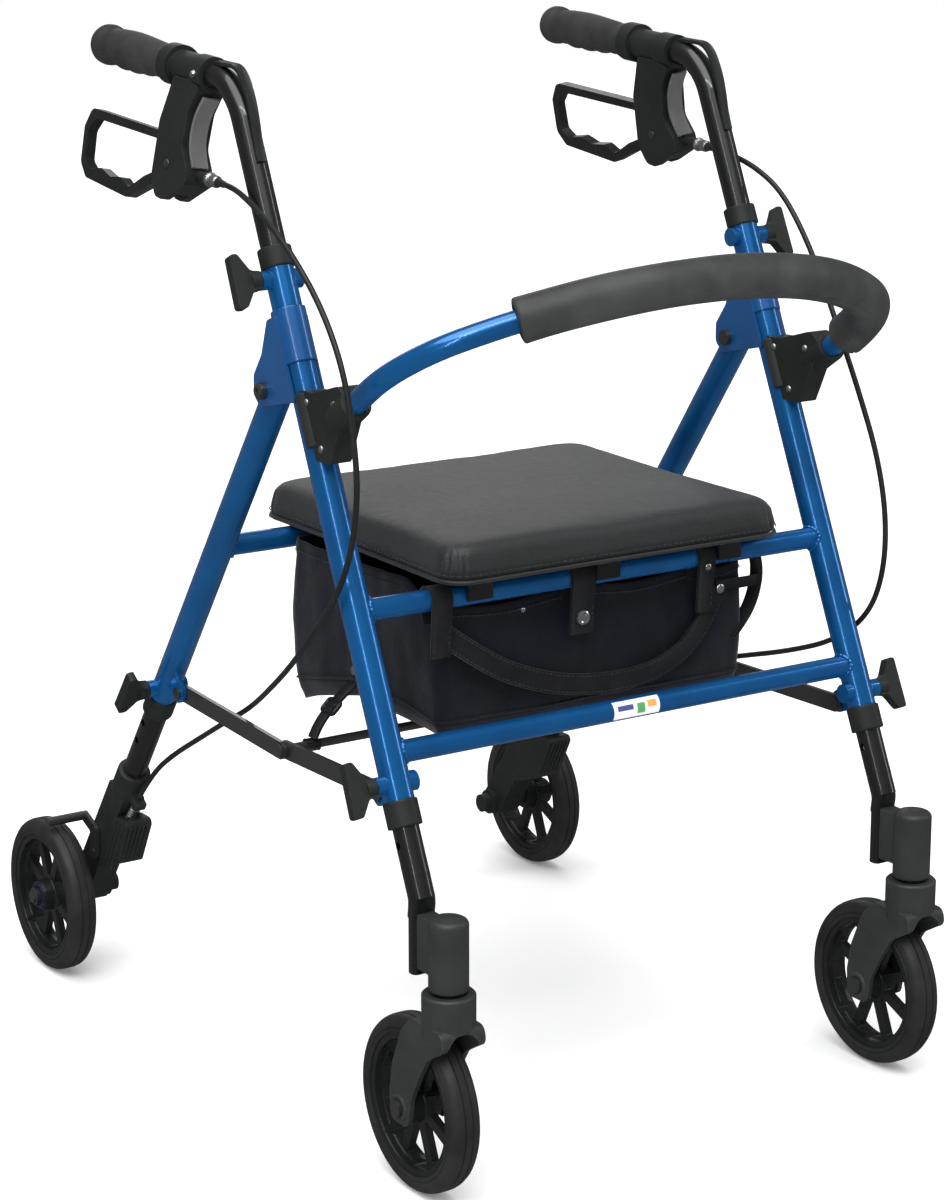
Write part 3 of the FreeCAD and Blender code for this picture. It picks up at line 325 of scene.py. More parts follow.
def rubber(name, color, light, roughness, cell, depth):
    """Soft rubber or foam: open skin cells, dusty tone and slight mottling."""
    s = Shading(name, color, roughness, Specular_IOR_Level=0.3)
    s.tint(s.span(s.noise(35, 5, 0.6), 0.38, 0.72, 0.0, 0.8), light)
    s.tint(s.span(s.noise(9, 2), 0.5, 0.8, 0.0, 0.35), times(light, 1.7))
    s.rough(s.noise(60, 5), roughness - 0.1, roughness + 0.1)
    s.raise_by(s.cells(cell), depth)
    s.raise_by(s.noise(cell * 0.6, 4), depth * 0.7)
    return s.done()


def vinyl(name, color, light):
    """Upholstery vinyl: pebbled leather grain with fine creases between the pebbles, which are painted darker
    as shade.
    """
    s = Shading(name, color, 0.46, Specular_IOR_Level=0.5, Sheen_Weight=0.12, Sheen_Roughness=0.5)
    s.tint(s.span(s.noise(7, 3), 0.35, 0.75, 0.0, 0.8), light)
    pebbles = s.cells(620, "DISTANCE_TO_EDGE")
    # painted shade: the creases between the pebbles are darkened
    s.tint(s.span(pebbles, 0.0, 0.12, 0.45, 0.0), times(color, 0.45))
    s.rough(s.noise(130, 5, 0.65), 0.36, 0.56)
    s.raise_by(s.span(pebbles, 0.0, 0.35, 0.0, 1.0), 0.00018)
    s.raise_by(s.noise(240, 4, 0.6), 0.00016)
    s.raise_by(s.noise(18, 3), 0.0007)
    return s.done(strength=0.8)


def cloth(name, color, light, pitch=0.9):
    """Plain-woven nylon: two sets of threads at this pitch in millimetres, with a slight fade and painted
    shade between the threads.
    """
    s = Shading(name, color, 0.72, Sheen_Weight=0.22, Sheen_Roughness=0.4, Specular_IOR_Level=0.2)
    s.tint(s.span(s.noise(12, 4, 0.6), 0.38, 0.72, 0.0, 0.9), light)
    scale = 1.0 / (pitch * MM) / 3.2
    upright = s.wave(scale, "Z")
    weave = s.math("MULTIPLY", upright, s.math("MAXIMUM", s.wave(scale, "X"), s.wave(scale, "Y")))
    # painted shade: the gaps between the threads are darkened
    s.tint(s.span(weave, 0.0, 0.5, 0.5, 0.0), times(color, 0.5))
    s.rough(s.noise(200, 3), 0.6, 0.85)
    s.raise_by(weave, 0.0001)
    s.raise_by(s.noise(60, 4, 0.6), 0.0005)
    return s.done()


def webbing(name, color, light):
    """Ribbed webbing: fine ribs across and a fuzzy tone."""
    s = Shading(name, color, 0.8, Sheen_Weight=0.2, Sheen_Roughness=0.4, Specular_IOR_Level=0.2)
    s.tint(s.span(s.noise(40, 4, 0.7), 0.4, 0.7, 0.0, 0.8), light)
    s.raise_by(s.wave(420, "Z", "TRI"), 0.00022)
    s.raise_by(s.noise(1500, 2), 0.00008)
    return s.done()


def pale_floor(name):
    s = Shading(name, (0.97, 0.97, 0.97), 0.8, Emission_Color=(1, 1, 1, 1), Emission_Strength=0.13)
    s.tint(s.span(s.noise(3, 3), 0.4, 0.8, 0.0, 0.4), (0.985, 0.985, 0.985))
    s.raise_by(s.noise(90, 4), 0.00002)
    return s.done()


def label_stock(name):
    """White printed label with plain coloured fields and no lettering."""
    s = Shading(name, (0.86, 0.87, 0.86), 0.35)
    s.tint(s.span(s.noise(160, 3), 0.45, 0.7, 0.0, 0.3), (0.7, 0.71, 0.7))
    return s.done()


def printed(name, color):
    """Printed field of the label: flat ink with a faint dot screen and a satin film."""
    s = Shading(name, color, 0.35)
    s.tint(s.span(s.cells(2600), 0.2, 0.5, 0.0, 0.25), tuple(min(1.0, channel + 0.15) for channel in color))
    s.rough(s.noise(200, 3), 0.28, 0.45)
    return s.done()


RECIPES = {
    "blue_frame": (paint, (0.0032, 0.129, 0.395), (0.002, 0.045, 0.17), (0.035, 0.28, 0.57), 0.22, 0.6),
    "blue_sleeve": (paint, (0.003, 0.086, 0.285), (0.002, 0.033, 0.13), (0.02, 0.17, 0.42), 0.3, 0.3),
    "black_tube": (paint, (0.006, 0.0065, 0.007), (0.004, 0.004, 0.005), (0.02, 0.02, 0.022), 0.32, 0.1),
    "dark_metal": (paint, (0.021, 0.022, 0.0218), (0.014, 0.014, 0.014), (0.05, 0.05, 0.05), 0.42, 0.1),
    "zinc": (bare_metal, (0.58, 0.58, 0.57), 0.32),
    "chrome": (bare_metal, (0.8, 0.8, 0.79), 0.16),
    "black_plastic": (moulded, (0.0125, 0.0148, 0.0138), (0.021, 0.024, 0.0225), 0.48),
    "caster_plastic": (moulded, (0.024, 0.0265, 0.0258), (0.04, 0.043, 0.042), 0.42, 0.00006),
    "gloss_plastic": (moulded, (0.009, 0.0098, 0.0098), (0.016, 0.017, 0.017), 0.27, 0.00002, 0.1),
    # pale grey that paints light on the inside of the brake housings
    "grey_plastic": (moulded, (0.11, 0.11, 0.11), (0.16, 0.16, 0.16), 0.42, 0.00004, 0.3),
    "hub_blue": (moulded, (0.005, 0.010, 0.028), (0.009, 0.017, 0.045), 0.35, 0.00003, 0.1),
    "grip_rubber": (rubber, (0.024, 0.024, 0.025), (0.04, 0.04, 0.041), 0.62, 1300, 0.00006),
    "foam": (rubber, (0.034, 0.036, 0.035), (0.055, 0.058, 0.057), 0.5, 1500, 0.00005),
    "tread": (rubber, (0.0135, 0.014, 0.014), (0.025, 0.0258, 0.0255), 0.46, 1100, 0.00005),
    "upholstery": (vinyl, (0.010, 0.011, 0.012), (0.018, 0.0195, 0.021)),
    "bag_cloth": (cloth, (0.0045, 0.0062, 0.0125), (0.009, 0.012, 0.021)),
    "bag_trim": (cloth, (0.005, 0.0065, 0.0105), (0.009, 0.011, 0.016), 0.7),
    "webbing": (webbing, (0.0045, 0.005, 0.0065), (0.011, 0.012, 0.0145)),
    "thread": (webbing, (0.018, 0.02, 0.026), (0.035, 0.038, 0.045)),
    "cable_black": (rubber, (0.011, 0.012, 0.012), (0.02, 0.021, 0.021), 0.34, 1800, 0.00002),
    "label": (label_stock,),
    "label_navy": (printed, (0.03, 0.05, 0.22)),
    "label_green": (printed, (0.06, 0.32, 0.09)),
    "label_orange": (printed, (0.8, 0.33, 0.05)),
    "floor": (pale_floor,),
}
MATERIALS = {name: recipe(name, *numbers) for name, (recipe, *numbers) in RECIPES.items()}
# the record's slot of each finish that is not a slot of its own
SLOT_OF = {"webbing": "bag_cloth", "thread": "bag_cloth", "bag_trim": "bag_cloth", "chrome": "zinc",
           "hub_blue": "rim_black"}
SLOT_OF.update(dict.fromkeys(("grey_plastic", "gloss_plastic", "caster_plastic", "label", "label_navy",
                              "label_green", "label_orange"), "black_plastic"))
FINISH_OF_NODE = {start: finish for finish, starts in {
    "blue_frame": "front_leg_ rear_leg_ seat_rail_ lower_crossbar backrest_tube",
    "blue_sleeve": "hinge_brackets",
    "black_plastic": "front_leg_ferrules rear_leg_ferrules",
    "black_tube": "handle_tube_ front_extension_ rear_extension_",
    "dark_metal": "front_struts rear_struts strut_cross_rod brake_arm_ hinge_bolts caster_axle_",
    "caster_plastic": "stem_housing_ caster_fork_",
    "gloss_plastic": "caster_rim_ rear_rim_ brake_lever_ seat_clips",
}.items() for start in starts.split()}


def dress_nodes():
    """Gives each carried-over CAD node its finish."""
    for name, obj in frame["nodes"].items():
        found = [key for key in FINISH_OF_NODE if name.startswith(key)]
        finish = FINISH_OF_NODE[max(found, key=len)] if found else "black_plastic"
        if not obj.material_slots:
            obj.data.materials.append(MATERIALS[finish])
        for material_slot in obj.material_slots:
            material_slot.material = MATERIALS[finish]


# ------------------------------------------------------------------ mesh building
def make_piece(name, vertices, faces, look, smooth=True):
    """A mesh object; its look names a finish, or a finish and the slot it belongs to, and the slot is not
    used.
    """
    finish, slot = look if isinstance(look, tuple) else (look, SLOT_OF.get(look, look))
    mesh = bpy.data.meshes.new(name)
    mesh.from_pydata([tuple(v) for v in vertices], [], faces)
    mesh.validate()
    mesh.update()
    obj = linked(name, mesh)
    mesh.materials.append(MATERIALS[finish])
    mesh.polygons.foreach_set("use_smooth", [smooth] * len(mesh.polygons))
    mesh.update()
    return obj


def recalculated(obj, merge=None):
    """Normals turned outward, after points closer than the merge distance become one."""
    work = bmesh.new()
    work.from_mesh(obj.data)
    if merge:
        bmesh.ops.remove_doubles(work, verts=work.verts, dist=merge)
    bmesh.ops.recalc_face_normals(work, faces=work.faces)
    work.to_mesh(obj.data)
    work.free()
    return obj


def sharpened(obj, degrees):
    """Smooth shading with the sharp corners kept."""
    obj.data.polygons.foreach_set("use_smooth", [True] * len(obj.data.polygons))
    obj.data.set_sharp_from_angle(angle=radians(degrees))
    return obj


def finished(name, vertices, faces, look, degrees):
    return sharpened(recalculated(make_piece(name, vertices, faces, look)), degrees)


def evaluated(obj):
    depsgraph = bpy.context.evaluated_depsgraph_get()
    return bpy.data.meshes.new_from_object(obj.evaluated_get(depsgraph), depsgraph=depsgraph)


def apply_modifiers(obj):
    """Keeps the evaluated mesh and drops the modifiers."""
    mesh = evaluated(obj)
    obj.modifiers.clear()
    obj.data = mesh
    return obj


def modified(obj, kind, **settings):
    """Applies one modifier with these settings."""
    modifier = obj.modifiers.new("change", kind)
    for key, value in settings.items():
        setattr(modifier, key, value)
    bpy.context.view_layer.update()
    return apply_modifiers(obj)


def reshaped(obj, other, operation):
    """Joins another closed piece to this one, or cuts it away, and removes the other."""
    modified(obj, "BOOLEAN", operation=operation, object=other, solver="EXACT")
    bpy.data.objects.remove(other)


def rings_to_faces(ring_count, ring_size, loop=False, cap_start=True):
    """Faces between rings of points; a loop joins the last ring to the first and has no end caps."""
    faces = []
    for ring in range(ring_count if loop else ring_count - 1):
        low, high = ring * ring_size, (ring + 1) % ring_count * ring_size
        for index in range(ring_size):
            after = (index + 1) % ring_size
            faces.append((low + index, low + after, high + after, high + index))
    if cap_start and not loop:
        faces.append(tuple(reversed(range(ring_size))))
    if not loop:
        faces.append(tuple(range((ring_count - 1) * ring_size, ring_count * ring_size)))
    return faces


def lathe(name, profile, matrix, look, segments=48, sharp=35, hollow=False):
    """Turned piece about the frame's Z from (radius, height) in millimetres; a hollow one has a bore."""
    vertices = [at(matrix, radius * c, radius * s, height)
                for radius, height in profile for c, s in circle(segments)]
    obj = make_piece(name, vertices, rings_to_faces(len(profile), segments, hollow), look)
    return sharpened(recalculated(obj, 1e-6), sharp)


def frames_along(points, normal=None, closed=False):
    """Tangent and two cross directions at each point, turned as little as possible."""
    last = len(points) - 1
    tangents = []
    for index in range(len(points)):
        before = points[index - 1 if closed else max(0, index - 1)]
        after = points[(index + 1) % len(points) if closed else min(last, index + 1)]
        tangents.append((after - before).normalized())
    normal = normal or (Z if abs(tangents[0].z) < 0.9 else X)
    if closed:
        # a flat closed line keeps its own plane's normal, so that its last ring meets its first
        normal = sum((a.cross(b) for a, b in zip(tangents, tangents[1:])), Vector()).normalized()
    result = []
    for tangent in tangents:
        normal = (normal - tangent * normal.dot(tangent)).normalized()
        result.append((tangent, normal, tangent.cross(normal)))
    return result


def tube(name, points, radius, look, segments=16, closed=False):
    """Round solid tube along points in metres; radius may be a number or one for each point."""
    radii = radius if isinstance(radius, list) else [radius] * len(points)
    vertices = [point + (normal * c + side * s) * reach
                for point, reach, (_, normal, side) in zip(points, radii, frames_along(points, closed=closed))
                for c, s in circle(segments)]
    return finished(name, vertices, rings_to_faces(len(points), segments, closed), look, 50)


def strap(name, points, across, width, thickness, look="webbing", facing=None):
    """Flat webbing with rolled selvedges; its width runs across, or its flat side faces a way."""
    upper = ((1, 0.2), (0.94, 0.75), (0.8, 0.5), (0, 0.45), (-0.8, 0.5), (-0.94, 0.75), (-1, 0.2))
    profile = [(-s, -t) for s, t in upper] + list(upper)
    vertices = []
    for (tangent, _, _), point in zip(frames_along(points), points):
        direction = tangent.cross(facing) if facing else across
        side = (direction - tangent * direction.dot(tangent)).normalized()
        out = side.cross(tangent)
        vertices += [point + side * s * width / 2 + out * t * thickness for s, t in profile]
    return finished(name, vertices, rings_to_faces(len(points), len(profile)), look, 60)


def nurbs_points(points, resolution):
    """Points along a smooth curve guided by the given ones."""
    data = bpy.data.curves.new("line", "CURVE")
    data.dimensions, data.resolution_u = "3D", resolution
    spline = data.splines.new("NURBS")
    spline.points.add(len(points) - 1)
    for target, point in zip(spline.points, points):
        target.co = (*point, 1)
    spline.order_u = 3
    spline.use_endpoint_u = True
    obj = linked("line", data)
    mesh = evaluated(obj)
    line = [vertex.co.copy() for vertex in mesh.vertices]
    bpy.data.objects.remove(obj)
    bpy.data.meshes.remove(mesh)
    bpy.data.curves.remove(data)
    return line


def spaced(points, count):
    """The same line cut into equal steps."""
    lengths = [0.0]
    for before, after in zip(points, points[1:]):
        lengths.append(lengths[-1] + (after - before).length)
    result, index = [], 0
    for step in range(count):
        target = lengths[-1] * step / (count - 1)
        while index < len(points) - 2 and lengths[index + 1] < target:
            index += 1
        run = lengths[index + 1] - lengths[index]
        result.append(points[index].lerp(points[index + 1], (target - lengths[index]) / run if run else 0))
    return result


def smooth_line(points, count):
    return spaced(nurbs_points(points, 12), count)


def run_length(points):
    return sum((after - before).length for before, after in zip(points, points[1:]))


def joined(name, pieces):
    """One object made of several that share a finish."""
    work = bmesh.new()
    for piece in pieces:
        work.from_mesh(piece.data)
    for piece in pieces[1:]:
        bpy.data.objects.remove(piece)
    keep = pieces[0]
    work.to_mesh(keep.data)
    work.free()
    keep.name = keep.data.name = name
    return keep


def outline(corners, radius, count):
    """Evenly spaced points round a closed outline of (x, y) corners, each rounded by the radius."""
    points = []
    for index, corner in enumerate(corners):
        here = Vector((*corner, 0))
        before = (Vector((*corners[index - 1], 0)) - here).normalized()
        after = (Vector((*corners[(index + 1) % len(corners)], 0)) - here).normalized()
        half = before.angle(after) / 2
        reach = radius / tan(half)
        centre = here + (before + after).normalized() * (radius / sin(half))
        start = (here + before * reach - centre).normalized()
        end = (here + after * reach - centre).normalized()
        points += [centre + start.slerp(end, step / 8) * radius for step in range(9)]
    return spaced(points + [points[0]], count + 1)[:-1]


def outward_of(points):
    """Level direction out of a closed outline at each of its points."""
    middle = sum(points, Vector()) / len(points)
    result = []
    for index, point in enumerate(points):
        tangent = points[(index + 1) % len(points)] - points[index - 1]
        normal = Vector((tangent.y, -tangent.x, 0)).normalized()
        result.append(normal if normal.dot(point - middle) > 0 else -normal)
    return result


def stitch_row(name, points, outward, pitch, length=0.0034, look="thread"):
    """A row of raised stitches along points, each a short thread that dips into the cloth at its ends."""
    radius = 0.00042
    line = spaced(points, max(3, int(run_length(points) / pitch)))
    vertices, faces = [], []
    for index in range(1, len(line) - 1):
        tangent = (line[index + 1] - line[index - 1]).normalized()
        facing = outward[min(len(outward) - 1, int(index / len(line) * len(outward)))]
        side = tangent.cross(facing).normalized()
        faces += [tuple(len(vertices) + number for number in face) for face in rings_to_faces(4, 6)]
        for share, lift in ((-0.5, -0.9), (-0.25, 0.5), (0.25, 0.5), (0.5, -0.9)):
            centre = line[index] + tangent * length * share + facing * radius * lift
            vertices += [centre + (side * c * 1.2 + facing * s) * radius for c, s in circle(6)]
    return make_piece(name, vertices, faces, look)


def hex_bolt(name, matrix, across, height, look="zinc"):
    """Hexagon head with a chamfered crown and a washer under it."""
    radius = across / 2 / cos(pi / 6)
    vertices = [at(matrix, reach * c, reach * s, level) for reach, level in
                ((radius, 0.9), (radius, height - 0.5), (radius * 0.86, height)) for c, s in circle(6)]
    head = recalculated(make_piece("head", vertices, rings_to_faces(3, 6), look, smooth=False))
    washer = lathe("washer", [(0, -0.3), (radius * 1.22, -0.3), (radius * 1.25, 0.1), (radius * 1.25, 0.7),
                              (radius * 1.18, 1.0), (0, 1.0)], matrix, look, 32)
    return joined(name, [head, washer])


def dome_rivet(name, matrix, radius, height, look="zinc"):
    dome = [(radius * c, height * s) for c, s in arc(0, pi / 2, 6)[1:]]
    return lathe(name, [(0, -0.4), (radius, -0.4), (radius, 0.0)] + dome, matrix, look, 32, 60)


def knurled(name, matrix, start, length, radius):
    """Barrel about the frame's Z with grip ridges and chamfered ends."""
    segments = 22 * 4
    profile = [(0.0, -1), (0.72, -1), (0.9, 0), (0.97, 0.6), (1.0, 1.4), (1.0, length - 1.4),
               (0.97, length - 0.6), (0.9, length), (0.72, length + 1), (0.0, length + 1)]
    vertices = []
    for share, height in profile:
        for number, (c, s) in enumerate(circle(segments)):
            ridge = 0.925 if number % 4 in (2, 3) and share > 0.95 else 1.0
            reach = max(0.02, radius * share * ridge)
            vertices.append(at(matrix, reach * c, reach * s, start + height))
    return finished(name, vertices, rings_to_faces(len(profile), segments), "zinc", 30)


def prism(name, loop, low, high, matrix):
    """Closed prism of an outline in the frame's XY, between two heights on its Z, all in millimetres."""
    vertices = [at(matrix, x, y, height) for height in (low, high) for x, y, *_ in loop]
    return recalculated(make_piece(name, vertices, rings_to_faces(2, len(loop)), "caster_plastic"))


# ------------------------------------------------------------------ cables
CABLE_RADIUS = 0.0025
CABLE_CUTS = (70, 196)
CABLE_ROUTES = {
    "left": ((-258, -45, 799), (-261, -80, 790), (-264, -118, 777), (-267, -165, 753), (-269, -210, 720),
             (-270, -243, 678), (-270, -258, 630), (-269, -263, 582), (-267, -250, 533), (-264, -222, 489),
             (-259, -176, 448), (-252, -122, 404), (-242, -66, 368), (-231, -8, 334), (-226, 48, 306),
             (-226, 98, 278), (-229, 146, 250), (-234, 180, 224)),
    "right": ((258, -46, 797), (261, -84, 787), (264, -118, 769), (266, -148, 736), (268, -174, 696),
              (269, -200, 650), (270, -228, 600), (271, -254, 548), (270, -270, 496), (267, -273, 446),
              (264, -258, 403), (257, -220, 371), (246, -166, 350), (234, -106, 333), (227, -44, 313),
              (226, 18, 293), (227, 76, 273), (229, 132, 250), (234, 174, 224)),
}
CABLE_STOP = Vector((0, -21.0, 164.5))


def make_cables():
    """Each brake cable in three pieces."""
    first, second = CABLE_CUTS
    for name, side in SIDES:
        route = [at(brake_frame(name), 0, 1.5, -85.0)] + [Vector(point) * MM for point in CABLE_ROUTES[name]]
        line = spaced(nurbs_points(route + [at(rear_leg(side), *CABLE_STOP)], 10), 241)
        for part, points, before, after in (
                ("upper", line[:first + 1], f"handle_{name}", "front_frame"),
                ("middle", line[first:second + 1], "front_frame", "rear_frame"),
                ("lower", line[second:], "rear_frame", f"rear_extension_{name}")):
            piece = tube(f"cable_{name}_{part}", points, CABLE_RADIUS, "cable_black", 14)
            if part == "upper":
                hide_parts(f"brake_cable_{name}")
            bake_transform(piece)


# ------------------------------------------------------------------ wheels and forks
def make_tyre(name, node, body, matrix):
    """Tyre with rounded shoulders, a shallow groove on each side of the tread and a bead line."""
    lowest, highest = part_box(node)
    half = (highest.x - lowest.x) / 2 / MM
    outer = (highest.z - lowest.z) / 2 / MM
    bead = [(0, 1.2), (1.6, 0.4), (3.4, 0.1), (3.9, 0.7), (4.5, 0.1), (8.0, 0), (10.6, 0.9), (12.8, 2.8),
            (14.2, 5.4)]
    profile = [(outer - 15.0 + rise, depth - half) for rise, depth in bead]
    profile += [(outer - 0.15, -half + 8.2), (outer - 0.05, -4.4), (outer - 0.9, -4.0), (outer - 0.9, -3.2),
                (outer, -2.8)]
    profile += [(radius, -height) for radius, height in reversed(profile)]
    tyre = lathe(f"{name}_tread", profile, matrix, "tread", 128, 50, hollow=True)
    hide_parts(node)
    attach(tyre, body)


def make_wheels():
    for name, side in SIDES:
        front, rear = (basis(joint_point(joint), Y, X * side)
                       for joint in (f"caster_{name}_roll", f"rear_wheel_{name}_roll"))
        make_tyre(f"caster_{name}", f"caster_tyre_{name}", f"caster_wheel_{name}", front)
        make_tyre(f"rear_{name}", f"rear_tyre_{name}", f"rear_wheel_{name}", rear)
        nut = hex_bolt(f"rear_nut_{name}", rear @ Matrix.Translation((0, 0, 0.0195)), 12.0, 3.4, "dark_metal")
        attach(nut, f"rear_extension_{name}")
        # dust ring pressed on the hub's outer face, round the axle nut
        profile = [(8.7, 14.0), (13.2, 14.0), (13.5, 15.5), (12.6, 16.5), (10.4, 17.0), (9.4, 16.6),
                   (8.7, 15.8)]
        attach(lathe(f"rear_{name}_hub_ring", profile, rear, "hub_blue", hollow=True), f"rear_wheel_{name}")


# in millimetres: half the fork's width, half the space between its arms, and its outline from the side
FORK_HALF, FORK_SPACE = 20.5, 15.7
FORK_CORNERS = ((-20.5, 160), (-24, 146), (-12, 139), (1, 131), (14, 111), (27, 86), (31, 61), (57, 61),
                (59, 86), (54, 112), (40, 145), (24, 160))
TRAIL, WHEEL_RADIUS = 44.0, 75.0


def make_forks():
    """Caster fork: round collar under the stem, arched crown over the tyre and two arms down to the axle."""
    for name, _ in SIDES:
        stem = joint_point(f"caster_{name}_swivel")
        foot = Vector((stem.x, stem.y, 0))
        across = basis(foot, Y, X)
        fork = prism(f"fork_{name}", outline(FORK_CORNERS, 7.5, 150), -FORK_HALF, FORK_HALF, across)
        collar = [(0, 150), (21.4, 150), (22.1, 151), (22.2, 184.2), (21.0, 185.6), (15.5, 185.8),
                  (14.5, 184.6), (8.8, 184.6), (8.8, 206), (0, 206)]
        reshaped(fork, lathe("collar", collar, basis(foot, X, Z), "caster_plastic", 64), "UNION")
        for end in (-1, 1):
            face = basis(foot + Vector((end * FORK_HALF, TRAIL, WHEEL_RADIUS)) * MM, Y, X * end)
            boss = [(0, -3), (11.6, -3), (11.4, 0.8), (10.4, 1.6), (8.2, 1.6), (7.6, 0.9), (0, 0.9)]
            reshaped(fork, lathe("boss", boss, face, "caster_plastic", 40), "UNION")
        for radius, half in ((79.5, FORK_SPACE), (4.05, 40.0)):
            hole = [(TRAIL + radius * c, WHEEL_RADIUS + radius * s) for c, s in circle(96)]
            reshaped(fork, prism("space", hole, -half, half, across), "DIFFERENCE")
        # arch over the tyre, open to the front; the frame's Y points up and its Z forward
        arch = [(-FORK_SPACE, 40), (FORK_SPACE, 40)]
        arch += [(FORK_SPACE * c, 141.0 + FORK_SPACE * s) for c, s in arc(0, pi, 24)]
        reshaped(fork, prism("arch", arch, -30, 45, basis(foot, X, -Y)), "DIFFERENCE")
        modified(fork, "BEVEL", width=0.0016, segments=3, limit_method="ANGLE", angle_limit=radians(38))
        sharpened(fork, 40)
        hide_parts(f"caster_fork_{name}")
        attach(fork, f"caster_fork_{name}")


def make_crimps():
    """Flattened neck where each front extension tube is pressed into its upright flat end."""
    top, bottom = 276.0, 237.0
    flat_y, half_width, half_depth, tube_radius = -310.0, 10.7, 6.25, 11.15
    for name, side in SIDES:
        vertices = []
        for level in range(15):
            share = level / 14
            height = top + (bottom - top) * share
            axis_y = SEAT_RAIL.y / MM + (height - SEAT_RAIL.z / MM) * FRONT_UP.y / FRONT_UP.z
            press = smooth_step(share, 0.05, 0.8)
            centre_y = axis_y + (flat_y - axis_y) * smooth_step(share, 0.35, 0.95)
            for c, s in circle(48):
                boxed = 1 / (abs(c) ** 5 + abs(s) ** 5) ** 0.2
                reach_x = tube_radius * c * (1 - press) + half_width * c * boxed * press
                reach_y = tube_radius / FRONT_UP.z * s * (1 - press) + half_depth * s * boxed * press
                vertices.append(Vector((side * LEG_X / MM + reach_x, centre_y + reach_y, height)) * MM)
        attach(finished(f"front_crimp_{name}", vertices, rings_to_faces(15, 48), "black_tube", 50),
                f"front_extension_{name}")


# ------------------------------------------------------------------ seat cushion
def puffed(obj, cell, cap, weight):
    """Puffs a closed piece up by cloth simulation, with each point's movement weighted and capped."""
    modified(obj, "REMESH", mode="VOXEL", voxel_size=cell)
    before = [vertex.co.copy() for vertex in obj.data.vertices]
    settings = obj.modifiers.new("cloth", "CLOTH").settings
    settings.use_pressure = True
    settings.uniform_pressure_force = 4.0
    settings.effector_weights.gravity = 0
    settings.quality = 4
    for number in range(1, 21):
        bpy.context.scene.frame_set(number)
    apply_modifiers(obj)
    bpy.context.scene.frame_set(1)
    for vertex, rest in zip(obj.data.vertices, before):
        moved = vertex.co - rest
        if moved.length > cap:
            moved = moved.normalized() * cap
        vertex.co = rest + moved * weight(rest)
    modified(obj, "SUBSURF", levels=1, render_levels=1)
    obj.data.polygons.foreach_set("use_smooth", [True] * len(obj.data.polygons))


def make_seat():
    """Crowned vinyl cushion, its sides pulled in between gathered corners, with piping and a hem."""
    low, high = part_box("seat_pad")
    corner, edge_round, puff, around = 0.026, 0.012, 0.0025, 120
    base, top = low.z, high.z - puff
    centre_y = (low.y + high.y) / 2

    def ring(inset, height):
        left, right, front, rear = low.x + inset, high.x - inset, low.y + inset, high.y - inset
        loop = outline([(left, front), (right, front), (right, rear), (left, rear)],
                       max(0.004, corner - inset * 0.8), around)
        for point in loop:
            # the sides pull in a little between the corners
            along_x = 1 - (point.x / high.x) ** 2
            along_y = 1 - ((point.y - centre_y) / (high.y - centre_y)) ** 2
            point.x *= 1 - 0.012 * along_y
            point.y -= (point.y - centre_y) * 0.012 * along_x
            point.z = height
        return loop

    rings = [ring(0.05, base), ring(0.009, base), ring(0.003, base + 0.0015), ring(0.0015, base + 0.006),
             ring(0.001, base + 0.012)]
    rings += [ring(0.0015 + edge_round * (1 - c), top - edge_round * (1 - s)) for c, s in arc(0, pi / 2, 6)]
    rings += [ring(0.04, top + 0.0008), ring(0.08, top + 0.0016), ring(0.12, top + 0.002)]
    seat = make_piece("seat_cushion", sum(rings, []), rings_to_faces(len(rings), around), "upholstery")
    puffed(recalculated(seat), 0.005, puff, lambda point: smooth_step(point.z, base + 0.0095, base + 0.02))
    reach_x, reach_y = high.x - corner, high.y - centre_y - corner
    for vertex in seat.data.vertices:
        point = vertex.co
        local_y = point.y - centre_y
        over = Vector((max(0.0, abs(point.x) - reach_x), max(0.0, abs(local_y) - reach_y), 0))
        gathered = min(over.x, over.y) / corner
        if over.length > 0.004 and gathered > 0.05:
            # pleats where the vinyl is gathered round each corner
            fade = smooth_step(point.z, base + 0.002, base + 0.01)
            fade *= 1 - smooth_step(point.z, top - 0.008, top)
            ripple = cos(atan2(over.y, over.x) * 19 + 0.5 * sin(point.z * 260))
            outward = Vector((copysign(over.x, point.x), copysign(over.y, local_y), 0)).normalized()
            point += outward * 0.0011 * ripple * fade * min(1, gathered * 4)
        point.z += 0.0006 * noise.noise(point * 11) * smooth_step(point.z, base + 0.01, top)
    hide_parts("seat_pad")
    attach(seat, "seat")
    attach(tube("seat_piping", ring(0.0012, base + 0.0026), 0.0019, "upholstery", 10, closed=True), "seat")
    hem = ring(0.0004, base + 0.0085)
    outward = outward_of(hem)
    hem = [point + away * 0.0004 for point, away in zip(hem, outward)]
    stitches = stitch_row("seat_stitches", hem + [hem[0]], outward, 0.006, look=("thread", "upholstery"))
    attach(stitches, "seat")
    for name, side in SIDES:
        vent_face = basis(Vector((side * 0.12, high.y - 0.0035, base + 0.017)), X, Y)
        dish = [(0, -0.5), (4.2, -0.5), (4.4, 0.3), (3.2, 0.9), (2.4, 0.5), (0, 0.4)]
        vent = lathe(f"seat_vent_{name}", dish, vent_face, "zinc", 24)
        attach(vent, "seat")


# ------------------------------------------------------------------ backrest foam
HOOP_BASE = Vector((0, -226.0, 647.0)) * MM
HOOP_TILT = radians(33.5)
HOOP_HALF_WIDTH, HOOP_DEPTH, HOOP_CORNER, HOOP_ARM = 0.244, 0.172, 0.110, 0.015
FOAM_START_X = -0.165


